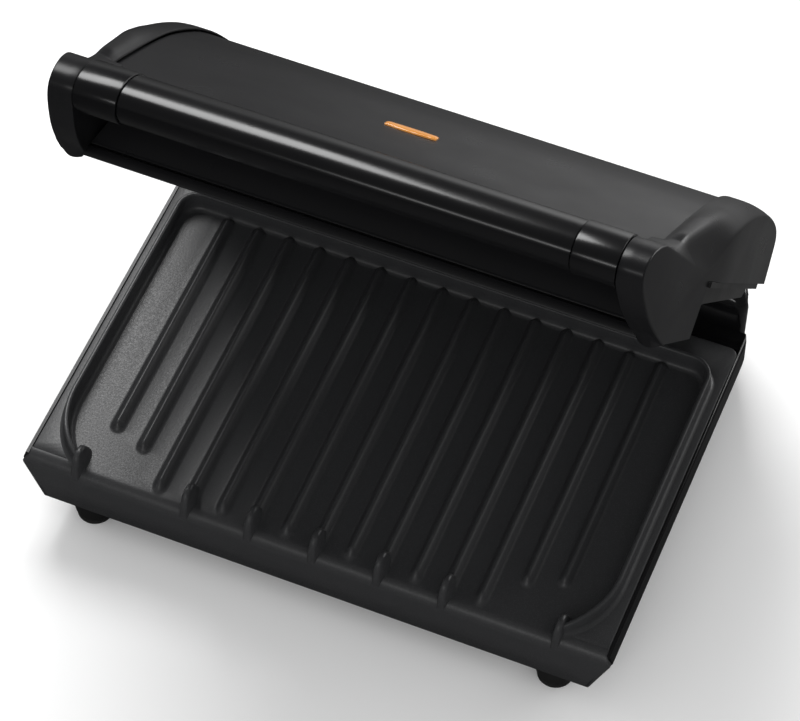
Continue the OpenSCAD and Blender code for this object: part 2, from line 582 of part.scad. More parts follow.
// ---- Lid ----
// Side view of the lid as key points (a, b): its roof over the cover, then the lower edge of an end cap's side
roof_key = [[-lid_rear, 0.7], [-22, 18], [-14, 34], [8, 43.4], [48, 48], [84, 49], [112, 47.7], [144, 43.8],
  [170, 38.5], [196, 32], [219, 25.6], [236, 20.8], [249, 16.8]];
roof_nose_key = [[249, 16.8], [262, 15], [280, 15], [297, 16], [309, 14.4], [319, 10.2], [325.4, 3.6], [326, -3.6],
  [320, -10.6], [307, -18.6], [288, -27.8], [266, -35.4], [243, -41.3]];
edge_key = [[-lid_rear, 0.7], [-22, 17], [-14, 31.6], [8, 39.6], [48, 44], [84, 43.6], [112, 41], [144, 35.6],
  [164, 29.2], [182, 17.8], [192, 11.2], [205, 7.3], [228, 7.4]];
nose_key = [[228, 7.4], [256, 10.9], [280, 14.2], [297, 16], [309, 14.4], [319, 10.2], [325.4, 3.6], [326, -3.6],
  [320, -10.6], [307, -18.6], [288, -27.8], [266, -35.4], [243, -41.3]];
handle_key = [[228.3, 7.4], [256, 10.9], [280, 14.2], [297, 16], [309, 14.4], [319, 10.2], [325.4, 3.6], [326, -3.6],
  [320.5, -9.6], [311, -13.2], [304, -13.8]];
roof_line = spline_run(run_view(roof_key), 3);
edge_line = spline_run(run_view(edge_key), 3);
roof_nose_line = spline_run(run_view(roof_nose_key), 3);
nose_line = spline_run(run_view(nose_key), 3);
handle_line = spline_run(run_view(handle_key), 3);
skirt_a = run_a(191.5);
skirt_b = -35.5;
panel_a = run_a(drawn_panel_a);
shoulder_a = run_a(162);
nose_a = panel_a + 91;

function turn_left(v) = [-v[1], v[0]] / norm(v);
function beside(p, t) = [for (i = [0:len(p) - 1]) p[i] + t * turn_left(p[min(i + 1, len(p) - 1)] - p[max(i - 1, 0)])];
function reversed(p) = [for (i = [len(p) - 1:-1:0]) p[i]];
function sheet(p, t) = concat(p, reversed(beside(p, -t)));

// Closed side views of an end cap, at its roof and at its side face, with as many points each
cap_tail = [[skirt_a + 2.5, skirt_b], [skirt_a, 0.3]];
cap_roof_view = concat(roof_line, [for (i = [1:len(nose_line) - 1]) roof_nose_line[i]], cap_tail);
cap_edge_view = concat(edge_line, [for (i = [1:len(nose_line) - 1]) nose_line[i]], cap_tail);
// How far the roof's line has come down to the edge's line, at each distance (mm) from the side face
cap_rounding = [[40, 0], [18, 0], [11, 0.12], [6, 0.38], [2.6, 0.7], [0, 1]];
module cap_view() polygon(cap_roof_view);
module cap_form() {
  n = len(cap_roof_view);
  rings = [for (r = cap_rounding) for (i = [0:n - 1]) let (p = cap_roof_view[i] * (1 - r[1]) + cap_edge_view[i] * r[1])
    [lid_half_w - r[0], -p[0], p[1]]];
  skin = [for (k = [0:len(cap_rounding) - 2]) for (i = [0:n - 1]) let (j = (i + 1) % n, o = k * n)
    each [[o + i, o + n + i, o + n + j], [o + i, o + n + j, o + j]]];
  inner = [for (i = [0:n - 1]) i];
  outer = [for (i = [n - 1:-1:0]) (len(cap_rounding) - 1) * n + i];
  polyhedron(points = rings, faces = concat([inner], skin, [outer]), convexity = 6);
}
module cap_plan(inset) polygon([[0, -lid_rear - 1], [lid_half_w - inset, -lid_rear - 1], [lid_half_w - inset, shoulder_a],
  [lid_half_w - nose_taper / 2 - inset, panel_a + 7], [nose_half_w - inset, nose_a], [0, nose_a]]);
module cap_block(x0, inset, lower) intersection() {
  lid_across(x0, lid_half_w) children();
  translate([0, 0, -60]) linear_extrude(120) mirror([0, 1]) cap_plan(inset);
  translate([0, 0, -lower]) cap_form();
}
module cap_cavity_view() {
  offset(delta = -lid_wall) cap_view();
  intersection() {
    translate([0, -9]) offset(delta = -lid_wall) cap_view();
    translate([-lid_rear, -60]) square([panel_a + lid_rear, 120]);
  }
}
cap_in = cover_half_w + seam;
// Plan of the room that the lower plate's fence takes under the lid when it is shut
module fence_room() polygon([[0, front_a - 82.9], [well_half_w + 1.3, front_a - 82.9],
  [well_half_w + 1.3, front_a - 35.9], [well_half_w - 2.4, front_a - 26.9], [well_half_w - 6.9, front_a - 15.9],
  [cap_inner[1][0], front_a - 4.9], [cap_inner[1][0], panel_a + 0.5], [0, panel_a + 0.5]]);
module each_cap_screw() for (a = [16, run_a(150)]) translate([lid_half_w - 14.4, -a, 0]) children();
cap_inner = [[cap_in, -12.6], [cap_in + 11.8, -41.4]];
module end_cap() lid_axes() {
  difference() {
    cap_block(cap_in, 0, 0) cap_view();
    intersection() {
      cap_block(cap_in - 1, lid_wall, lid_wall + 0.4) cap_cavity_view();
      union() {
        lid_across(0, lid_half_w) translate([-100, -60]) square([panel_a + 100, 120]);
        lid_along(panel_a - 1, nose_a + 3) polygon([[cap_in + lid_wall, 60], cap_inner[0] + [lid_wall, 0],
          cap_inner[1] + [lid_wall, 0], [lid_half_w, cap_inner[1][1]], [lid_half_w, 60]]);
      }
    }
    lid_along(panel_a + 0.5, nose_a + 3) polygon([[0, -12.6], cap_inner[0] - [1, 0], cap_inner[1], cap_inner[1] - [0, 20], [0, -60]]);
    lid_along(-40, panel_a + 0.5) polygon([[0, 60], [cap_in, 60], [cap_in, -60], [0, -60]]);
    translate([0, 0, -60]) linear_extrude(60 - flange_t) mirror([0, 1]) fence_room();
  }
  // Screw bosses, from the cap's open underside up to its roof
  difference() {
    intersection() {
      each_cap_screw() translate([0, 0, 0.3]) cylinder(r = 3.6, h = 60);
      cap_block(cap_in, 1, 1) offset(delta = -1) cap_view();
    }
    each_cap_screw() translate([0, 0, -1]) cylinder(r = screw_r - 0.2, h = 22);
  }
}
module end_cap_right() color("#1c1d1f") end_cap();
module end_cap_left() color("#1c1d1f") mirror([1, 0, 0]) end_cap();

cover_line = [for (p = roof_line) [p[0] + (p[0] < -14 ? cover_step : 0), p[1] - (p[1] > 9 ? cover_step : 0)]];
lens_a = run_a(194);
lens_b = lookup(lens_a, roof_line) - cover_step;
lens_tilt = atan((lookup(lens_a - 6, roof_line) - lookup(lens_a + 6, roof_line)) / 12);
lens_bulge = 1.2;
module lens_plan(grow) {
  l = lens_half_l + grow;
  w = lens_half_w + grow;
  r = (l * l + lens_bulge * lens_bulge) / (2 * lens_bulge);
  upper = arc_run([0, w - r], r, 90 - asin(l / r), 90 + asin(l / r), 8);
  polygon(concat(upper, [for (p = upper) -p]));
}
module on_lens() lid_axes() translate([lens_x, -lens_a, lens_b]) rotate([lens_tilt, 0, 0]) children();
module lid_cover() color("#26272a") difference() {
  lid_axes() lid_across(-cover_half_w, cover_half_w) polygon(sheet(cover_line, lid_wall));
  on_lens() translate([0, 0, -8]) linear_extrude(16) lens_plan(0.15);
  lid_axes() both_sides() slab(arm_x - 1, arm_x + arm_w + 1, 0, 40, -1, 13);
}
lens_skirt = 3.4;
module indicator_lens() color("#e08a2a") on_lens() translate([0, 0, -lens_skirt]) linear_extrude(lens_skirt + lens_rise) lens_plan(0);
module lamp_holder() color("#1a1b1c") on_lens() difference() {
  slab(-14, 14, -6, 6, -18, -3.7);
  slab(-12.4, 12.4, -4.4, 4.4, -16.4, -3);
}
module indicator_lamp() color("#f3b066") on_lens() translate([-9, 0, -12.8]) rotate([0, 90, 0]) cylinder(r = 3, h = 18);

module handle() color("#141517") lid_axes() lid_across(-grip_half_w, grip_half_w) polygon(sheet(handle_line, lid_wall + 0.8));
module collar_side() lid_axes() lid_across(grip_half_w + seam, cap_in - seam)
  polygon(sheet(beside(handle_line, collar_step), lid_wall + 0.8));
module handle_collar_right() color("#141517") collar_side();
module handle_collar_left() color("#141517") mirror([1, 0, 0]) collar_side();
panel_line = spline_run([[panel_a, 3.4], [panel_a + 3, -6], [panel_a + 6, -16], [panel_a + 7.6, -26], [panel_a + 8.6, -34],
  [panel_a + 11, -37], [panel_a + 11.6, -41.3]], 2);
module panel_front_view() polygon([[-cap_in + 0.6, 20], [cap_in - 0.6, 20], cap_inner[0] - [0.6, 0.2],
  cap_inner[1] - [0.6, 0], [0.6 - cap_inner[1][0], cap_inner[1][1]], [0.6 - cap_in, cap_inner[0][1] - 0.2]]);
module lid_front_panel() color("#1a1b1d") lid_axes() intersection() {
  lid_across(-cap_inner[1][0], cap_inner[1][0]) polygon(sheet(panel_line, lid_wall));
  lid_along(panel_a - 36, panel_a + 24) panel_front_view();
}

flange_half_w = lid_half_w - 1.8;
strip_x = lid_half_w - 10.8;
frame_back_a = -10;
frame_front_a = panel_a - lid_wall - 1.4;
module lid_frame() color("#151618") lid_axes() difference() {
  union() {
    slab(-flange_half_w, flange_half_w, -skirt_a + 1, -frame_back_a, -flange_t, 0);
    slab(-cap_in + 1, cap_in - 1, -frame_front_a, -skirt_a + 2, -flange_t, 0);
    both_sides() lid_across_at(strip_x, 3.4) polygon([[-4, -flange_t + 1], [skirt_a - 1, -flange_t + 1], [skirt_a - 1, -16], [4, -11], [-4, -7]]);
    lid_across(-strip_x, strip_x) polygon([[-4, -flange_t + 1], [-1.6, -flange_t + 1], [-1.6, -9], [-4, -7]]);
    lid_across(-cap_in + 1, cap_in - 1) polygon([[frame_front_a - 2.4, -1], [frame_front_a, -1], [frame_front_a + 1, -12], [frame_front_a - 1.4, -12]]);
  }
  slab(-boss_x + 12, boss_x - 12, -run_a(185), -52, -flange_t - 1, 1);
  both_sides() each_cap_screw() translate([0, 0, -flange_t - 1]) cylinder(r = screw_r + screw_clear, h = flange_t + 2);
  both_sides() each_arm_screw() translate([0, 0, -flange_t - 1]) cylinder(r = screw_r + screw_clear, h = flange_t + 2);
  each_upper_post() translate([0, 0, -flange_t - 1]) cylinder(r = screw_r + screw_clear, h = flange_t + 2);
}
module lid_across_at(x, t) lid_across(x, x + t) children();
module each_upper_post() for (x = [-boss_x, boss_x]) for (a = [46, run_a(172)]) translate([x, -a, 0]) children();

// ---- Upper plate, drawn as it lies over the lower one with the lid shut ----
module upper_plan(inset) difference() {
  well_plan(fence_t / 2 + 2.4 + inset);
  translate([-half_w, -40]) square([base_w, 40 + upper_front_d + inset]);
}
module upper_grill_plate() color("#3a3c3f") {
  lifted_axes() difference() {
    union() {
      translate([0, 0, upper_under_z]) linear_extrude(plate_t) upper_plan(0);
      difference() {
        translate([0, 0, upper_under_z + 1]) linear_extrude(40) difference() { upper_plan(6); upper_plan(8.6); }
        shut_lid_above(-flange_t - 0.2);
      }
      for (i = [-rib_half:rib_half])
        along(max(rib_start(i), upper_front_d + 3), upper_back_d - 6)
          translate([i * rib_pitch, upper_under_z + 0.5]) mirror([0, 1]) rib_view();
    }
  }
  intersection() {
    lid_axes() each_upper_post() translate([0, 0, -flange_t - 30]) tube(boss_r, screw_r - 0.2, 30);
    lifted_axes() slab(-half_w, half_w, 0, well_d, upper_under_z + 1, upper_under_z + 60);
  }
}
// Everything above one height of the lid, in the shut position's axes
module shut_lid_above(b) translate([0, hinge_d, hinge_h]) rotate([-shut_angle, 0, 0])
  translate([0, -arm_reach, arm_drop]) slab(-half_w, half_w, -300, 100, b, 90);
upper_tube_z = upper_under_z + plate_t + tube_r + 0.1;
upper_loop_front_d = 62;
upper_loop_back_d = well_d - 48;
module upper_heating_element() color("#6d6a66") lifted_axes() translate([0, 0, upper_tube_z]) heating_loop(upper_loop_front_d, upper_loop_back_d);
module upper_element_clamps() color("#a9abae") lifted_axes() translate([0, 0, upper_tube_z]) mirror([0, 0, 1]) each_clamp();
module upper_heat_shield() color("#b4b6b8") lid_axes() slab(-boss_x + 7, boss_x - 7, -run_a(190), -46, 0, 0.8);
module upper_plate_screws() color("#8d9094") lid_axes() each_upper_post() rotate([180, 0, 0]) bite(12);
module end_cap_screws() color("#8d9094") lid_axes() both_sides() each_cap_screw() translate([0, 0, -flange_t]) bite(14);
module hinge_arm_screws() color("#8d9094") lid_axes() both_sides() each_arm_screw() translate([0, 0, -flange_t]) bite(10);
module lid_wiring() color("#b9b2a6") lid_axes() {
  below = 19.6;
  start_y = -lens_a + below * sin(lens_tilt);
  start_z = lens_b - below * cos(lens_tilt);
  wire([[lens_x - 8, start_y, start_z], [lens_x - 30, 36 - run_a(156), 2.4], [-100, -60, 2.4], [-100, -20, 2], [-100, -2, 2]], wire_r);
  wire([[lens_x + 8, start_y, start_z], [lens_x + 20, 36 - run_a(156), 2.4], [20, -44, 2.4], [-60, -20, 2], [-96, -6, 2]], wire_r);
}

base_housing();
base_bottom_cover();
rear_cover();
lower_grill_plate();
lower_heating_element();
lower_element_clamps();
lower_heat_shield();
foot(-foot_x, foot_front_d);  // foot_front_left
foot(foot_x, foot_front_d);  // foot_front_right
foot(-rear_foot_x, rear_foot_d);  // foot_rear_left
foot(rear_foot_x, rear_foot_d);  // foot_rear_right
foot_pads();
foot_screws();
base_cover_screws();
lower_plate_screws();
rear_cover_screws();
thermostat();
thermal_fuse();
terminal_block();
base_wiring();
cord_inlet();
hinge_rod();
hinge_sleeve();
slide_block_left();
slide_block_right();
rod_clips();
lid_cover();
end_cap_left();
end_cap_right();
handle();
handle_collar_left();
handle_collar_right();
lid_front_panel();
lid_frame();
upper_grill_plate();
upper_heating_element();
upper_element_clamps();
upper_heat_shield();
indicator_lens();
lamp_holder();
indicator_lamp();
hinge_arm_left();
hinge_arm_right();
arm_bush_left();
arm_bush_right();
hinge_arm_screws();
end_cap_screws();
upper_plate_screws();
lid_wiring();
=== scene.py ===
# %% [markdown]
# # An electric indoor grill, half open
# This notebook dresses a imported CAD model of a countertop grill. The CAD holds every solid
# at its true size; here the visible ones get fine edges, soft roundings and finishes.
# Everything is in metres, with the front lip towards -Y and the hinge at the back.

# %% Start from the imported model
import json
import math
import bmesh
import bpy
from mathutils import Matrix, Vector


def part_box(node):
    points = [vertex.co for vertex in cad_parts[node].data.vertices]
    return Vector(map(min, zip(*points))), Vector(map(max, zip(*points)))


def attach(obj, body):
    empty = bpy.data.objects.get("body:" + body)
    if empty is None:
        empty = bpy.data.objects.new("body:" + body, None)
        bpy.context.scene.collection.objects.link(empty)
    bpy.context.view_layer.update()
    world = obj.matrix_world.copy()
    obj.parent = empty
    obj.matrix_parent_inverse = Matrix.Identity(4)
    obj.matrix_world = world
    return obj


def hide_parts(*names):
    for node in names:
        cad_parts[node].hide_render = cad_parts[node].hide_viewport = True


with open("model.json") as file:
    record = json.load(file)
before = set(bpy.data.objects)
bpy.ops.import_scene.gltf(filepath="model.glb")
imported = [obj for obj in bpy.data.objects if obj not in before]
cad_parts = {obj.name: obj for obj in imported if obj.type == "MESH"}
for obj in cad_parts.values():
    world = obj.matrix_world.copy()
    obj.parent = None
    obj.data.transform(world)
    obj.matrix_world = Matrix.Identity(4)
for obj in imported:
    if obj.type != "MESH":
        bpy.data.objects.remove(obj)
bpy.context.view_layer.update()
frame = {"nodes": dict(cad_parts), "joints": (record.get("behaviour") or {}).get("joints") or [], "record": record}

# %% [markdown]
# ## Two drawing boards
# The real mouldings are drawn in millimetres on their own axes, as their toolmaker would:
# the base from its front lip and its widest line, the lid from a datum line that tilts with
# it. Two matrices put both drawings into the frame, so no piece is ever placed by eye.

# %% Axes of the base and of the lid
MM = Matrix.Scale(0.001, 4)
TUB_H = 36
LID_ANGLE = 51.7
ARM_REACH, ARM_DROP = 61.1, 5.4

lip_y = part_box("lower_grill_plate")[0].y
widest_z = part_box("base_housing")[0].z + TUB_H / 1000
hinge = next(j["pos_m"] for j in frame["joints"] if j["name"] == "lid_hinge")
BASE = Matrix.Translation((0, lip_y, widest_z)) @ MM
LID = (Matrix.Translation(hinge) @ Matrix.Rotation(math.radians(-LID_ANGLE), 4, "X") @ MM
       @ Matrix.Translation((0, -ARM_REACH, ARM_DROP)))
print("lip at y", round(lip_y, 4), "widest line at z", round(widest_z, 4), "hinge", hinge)


# %% [markdown]
# ## Curves
# The profiles of mouldings come from smooth curves through a few chosen points, the way a
# draughtsman bends a spline through pins. Roundings are arcs, and a wall's second face is
# the first one moved aside by its thickness.

# %% Curves
def spline(keys, n):
    """Points of a Catmull-Rom curve through the keys, n to a span."""
    out = []
    for i in range(len(keys) - 1):
        a, b, c, d = (Vector(keys[k]) for k in (max(i - 1, 0), i, i + 1, min(i + 2, len(keys) - 1)))
        for k in range(n):
            t = k / n
            out.append(0.5 * (2 * b + (c - a) * t + (2 * a - 5 * b + 4 * c - d) * t * t
                              + (3 * b - a - 3 * c + d) * t ** 3))
    return out + [Vector(keys[-1])]


def bezier(points, n):
    """Points of a cubic Bezier curve with four control points."""
    a, b, c, d = (Vector(p) for p in points)
    out = []
    for i in range(n + 1):
        t = i / n
        u = 1 - t
        out.append(u ** 3 * a + 3 * t * u ** 2 * b + 3 * t * t * u * c + t ** 3 * d)
    return out


def arc(centre, r, start, end, n):
    """Points of an arc, angles in degrees."""
    angles = [math.radians(start + (end - start) * i / n) for i in range(n + 1)]
    return [Vector((centre[0] + r * math.cos(t), centre[1] + r * math.sin(t))) for t in angles]


def normals(line):
    """Left-hand unit normals of a 2D line."""
    last, out = len(line) - 1, []
    for i in range(last + 1):
        way = (line[min(i + 1, last)] - line[max(i - 1, 0)]).normalized()
        out.append(Vector((-way.y, way.x)))
    return out


def beside(line, step):
    """The line moved to its left by one step."""
    return [p + step * n for p, n in zip(line, normals(line))]


def between(x, points):
    """Straight interpolation in a short list of (x, y)."""
    for (x0, y0), (x1, y1) in zip(points, points[1:]):
        if x <= x1:
            return y0 + (y1 - y0) * max(x - x0, 0) / (x1 - x0)
    return points[-1][1]


def ramp(x, start, end):
    """Share of the way from start to end, held at 0 before it and at 1 after it."""
    return max(0, min(1, (x - start) / (end - start)))


# %% [markdown]
# ## Skins and pieces
# Most mouldings are one profile carried along a path. A *loft* joins rows of points into a
# skin. A finished skin becomes a piece: a mesh that rides on one body of the frame and may
# stand for a CAD node. Points that two lofts share are merged, so that the shading runs on
# over the seam, and only edges sharper than a limit stay sharp.

# %% Skins
class Skin:
    """Collects the points and faces of one piece, drawn in millimetres."""

    def __init__(self):
        self.points, self.faces = [], []

    def loft(self, rows, closed=False, caps=False):
        """Joins rows of equal length into a skin; closed joins each row's ends."""
        start, width = len(self.points), len(rows[0])
        for row in rows:
            self.points += [tuple(p) for p in row]
        span = width if closed else width - 1
        for r in range(len(rows) - 1):
            here, there = start + r * width, start + (r + 1) * width
            for c in range(span):
                d = (c + 1) % width
                self.faces.append((here + c, here + d, there + d, there + c))
        if caps:
            last = start + (len(rows) - 1) * width
            self.faces.append(tuple(start + c for c in reversed(range(width))))
            self.faces.append(tuple(last + c for c in range(width)))

    def add(self, other):
        """Takes in the points and faces of another skin."""
        start = len(self.points)
        self.points += other.points
        self.faces += [tuple(i + start for i in f) for f in other.faces]


# %% Pieces
MERGE, SLIVER = 2e-6, 1e-7


def clean_up(mesh):
    """Merges the points that two lofts share and turns all faces outwards."""
    work = bmesh.new()
    work.from_mesh(mesh)
    bmesh.ops.remove_doubles(work, verts=work.verts, dist=MERGE)
    bmesh.ops.dissolve_degenerate(work, edges=work.edges, dist=SLIVER)
    bmesh.ops.recalc_face_normals(work, faces=work.faces)
    work.to_mesh(mesh)
    work.free()


def shade(mesh, sharp):
    """Smooth shading, except over edges sharper than this many degrees."""
    mesh.polygons.foreach_set("use_smooth", [True] * len(mesh.polygons))
    mesh.set_sharp_from_angle(angle=math.radians(sharp))


def placed(name, mesh, body, slot, stands_for):
    """Puts a finished mesh into the frame as one piece."""
    obj = bpy.data.objects.new(name, mesh)
    bpy.context.scene.collection.objects.link(obj)
    mesh.materials.append(finish[slot])
    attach(obj, body)
    if stands_for:
        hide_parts(*stands_for)
    print(f"{name}: {len(mesh.polygons)} faces")
    return obj


def piece(name, skin, axes, body, slot, stands_for=(), sharp=40, mirrored=False):
    """Turns a skin into an object of the frame, riding on its body."""
    flip = Matrix.Diagonal((-1, 1, 1, 1)) if mirrored else Matrix()
    mesh = bpy.data.meshes.new(name)
    mesh.from_pydata([axes @ (flip @ Vector(p)) for p in skin.points], [], skin.faces)
    clean_up(mesh)
    shade(mesh, sharp)
    return placed(name, mesh, body, slot, stands_for)


# %% [markdown]
# ## Finishes
# Nearly everything on this grill is black, so the finishes differ in gloss and grain rather
# than in colour. A spark-eroded mould leaves a fine pebble on plastic; a sprayed non-stick
# coat is speckled and slightly pearly. Both effects are node groups, made once and shared.

# %% Node helpers
def group(name, inputs, outputs):
    """An empty node group with number inputs and outputs of any kind."""
    tree = bpy.data.node_groups.new(name, "ShaderNodeTree")
    for label, value in inputs.items():
        socket = tree.interface.new_socket(label, in_out="INPUT", socket_type="NodeSocketFloat")
        socket.default_value = value
    for label, kind in outputs.items():
        tree.interface.new_socket(label, in_out="OUTPUT", socket_type=kind)
    return tree, tree.nodes.new("NodeGroupInput"), tree.nodes.new("NodeGroupOutput")


def node(tree, kind, label="", **values):
    """A new node; each value goes to the input of that name, or else to the setting."""
    made = tree.nodes.new(kind)
    made.label = label
    for key, value in values.items():
        if key in made.inputs:
            made.inputs[key].default_value = value
        else:
            setattr(made, key, value)
    return made


def on_object(tree):
    """Place on the object itself, in metres, so that a grain moves with its piece."""
    return node(tree, "ShaderNodeTexCoord").outputs["Object"]


def noise(tree, coordinate, scale, detail=2.0, label=""):
    """Cloudy noise; a larger scale makes it finer."""
    cloud = node(tree, "ShaderNodeTexNoise", label, Scale=scale, Detail=detail)
    tree.links.new(coordinate, cloud.inputs["Vector"])
    return cloud.outputs["Fac"]


def ranged(tree, value, low, high, to_low, to_high):
    """A value carried from one range to another, and held at its ends."""
    given = {"From Min": low, "From Max": high, "To Min": to_low, "To Max": to_high}
    mapped = node(tree, "ShaderNodeMapRange", **given)
    tree.links.new(value, mapped.inputs["Value"])
    return mapped.outputs["Result"]


def times(tree, one, other):
    """Two values multiplied."""
    product = node(tree, "ShaderNodeMath", operation="MULTIPLY")
    tree.links.new(one, product.inputs[0])
    tree.links.new(other, product.inputs[1])
    return product.outputs[0]


def blended(tree, share, low, high):
    """A colour between two. Sockets 6 and 7 of a Mix node are its colours, 2 is its result."""
    mix = node(tree, "ShaderNodeMix", data_type="RGBA")
    mix.inputs[6].default_value, mix.inputs[7].default_value = (*low, 1), (*high, 1)
    tree.links.new(share, mix.inputs[0])
    return mix.outputs[2]


# %% Shared effects
BUMP_DEPTH = 0.0002


def moulded_grain():
    """Fine pebble of a spark-eroded mould: a normal and a roughness that wander a little."""
    tree, given, result = group("moulded_grain", {"Pebble": 0.12, "Low": 0.35, "High": 0.45},
                                {"Normal": "NodeSocketVector", "Roughness": "NodeSocketFloat"})
    place = on_object(tree)
    pebble = noise(tree, place, 2600, 3, "pebble")
    bump = node(tree, "ShaderNodeBump", Distance=BUMP_DEPTH)
    tree.links.new(given.outputs["Pebble"], bump.inputs["Strength"])
    tree.links.new(pebble, bump.inputs["Height"])
    cloud = noise(tree, place, 22, 3, "handling")
    rough = node(tree, "ShaderNodeMapRange", **{"From Min": 0.3, "From Max": 0.7})
    tree.links.new(cloud, rough.inputs["Value"])
    tree.links.new(given.outputs["Low"], rough.inputs["To Min"])
    tree.links.new(given.outputs["High"], rough.inputs["To Max"])
    tree.links.new(bump.outputs["Normal"], result.inputs["Normal"])
    tree.links.new(rough.outputs["Result"], result.inputs["Roughness"])
    return tree


def sprayed_speckle():
    """Non-stick coat: pale pin-point flecks over a dark ground, and an orange-peel bump."""
    outputs = {"Mask": "NodeSocketFloat", "Normal": "NodeSocketVector", "Roughness": "NodeSocketFloat"}
    tree, given, result = group("sprayed_speckle", {"Flecks": 0.5}, outputs)
    place = on_object(tree)
    cells = node(tree, "ShaderNodeTexVoronoi", "flecks", Scale=1500)
    tree.links.new(place, cells.inputs["Vector"])
    fleck = ranged(tree, cells.outputs["Distance"], 0.18, 0.34, 1.0, 0.0)
    mottle = noise(tree, place, 900, 2, "mottle")
    amount = times(tree, times(tree, fleck, mottle), given.outputs["Flecks"])
    peel = noise(tree, place, 1100, 2, "orange peel")
    bump = node(tree, "ShaderNodeBump", Distance=BUMP_DEPTH, Strength=0.3)
    tree.links.new(peel, bump.inputs["Height"])
    tree.links.new(amount, result.inputs["Mask"])
    tree.links.new(bump.outputs["Normal"], result.inputs["Normal"])
    tree.links.new(ranged(tree, mottle, 0.3, 0.7, 0.36, 0.5), result.inputs["Roughness"])
    return tree


effect = {"grain": moulded_grain(), "speckle": sprayed_speckle()}
print("effects", sorted(effect))


# %% [markdown]
# ## Materials
# Each finish is one Principled shader with its effect plugged in: the base colour, how rough
# it is at its smoothest and at its roughest, and how deep its pebble goes. Glossier parts,
# such as the handle and the towers, get a fainter pebble and a lower roughness.

# %% Kinds of material
def material(name, colour, **values):
    """An empty Principled material; values are set on the shader's own sockets."""
    made = bpy.data.materials.new(name)
    made.use_nodes = True
    shader = made.node_tree.nodes["Principled BSDF"]
    shader.inputs["Base Color"].default_value = (*colour, 1)
    for key, value in values.items():
        shader.inputs[key.replace("_", " ")].default_value = value
    return made, made.node_tree, shader


def moulded(name, colour, low, high, pebble=0.12, **values):
    """Injection-moulded plastic with a fine grain."""
    made, tree, shader = material(name, colour, **values)
    grain = node(tree, "ShaderNodeGroup", node_tree=effect["grain"])
    for key, value in {"Pebble": pebble, "Low": low, "High": high}.items():
        grain.inputs[key].default_value = value
    for key in ("Normal", "Roughness"):
        tree.links.new(grain.outputs[key], shader.inputs[key])
    return made


def coated(name, ground, fleck):
    """Cast aluminium under a speckled non-stick coat."""
    made, tree, shader = material(name, ground, IOR=1.5)
    spray = node(tree, "ShaderNodeGroup", node_tree=effect["speckle"])
    tree.links.new(blended(tree, spray.outputs["Mask"], ground, fleck), shader.inputs["Base Color"])
    for key in ("Normal", "Roughness"):
        tree.links.new(spray.outputs[key], shader.inputs[key])
    return made


def drawn_steel(name, colour, low, high):
    """Steel with the faint streaks of rolling or drawing."""
    made, tree, shader = material(name, colour, Metallic=1.0)
    stretch = node(tree, "ShaderNodeMapping", Scale=(60, 1800, 1800))
    tree.links.new(on_object(tree), stretch.inputs["Vector"])
    streak = noise(tree, stretch.outputs["Vector"], 1, 3, "streaks")
    tree.links.new(ranged(tree, streak, 0.3, 0.7, low, high), shader.inputs["Roughness"])
    return made


def lit_amber(name, colour):
    """Tinted clear plastic over a warm lamp, a little brighter in blotches."""
    made, tree, shader = material(name, colour, Roughness=0.16, Coat_Weight=0.6,
                                  Emission_Strength=0.16)
    glow = ranged(tree, noise(tree, on_object(tree), 160, 2, "glow"), 0.35, 0.65, 0.0, 1.0)
    warm = blended(tree, glow, (0.55, 0.19, 0.03), (0.85, 0.42, 0.13))
    tree.links.new(warm, shader.inputs["Emission Color"])
    return made


def braided(name, colour):
    """Woven glass sleeve on a wire."""
    made, tree, shader = material(name, colour, Roughness=0.8)
    weave = node(tree, "ShaderNodeTexWave", Scale=900, bands_direction="DIAGONAL")
    tree.links.new(on_object(tree), weave.inputs["Vector"])
    bump = node(tree, "ShaderNodeBump", Distance=BUMP_DEPTH, Strength=0.5)
    tree.links.new(weave.outputs["Fac"], bump.inputs["Height"])
    tree.links.new(bump.outputs["Normal"], shader.inputs["Normal"])
    return made


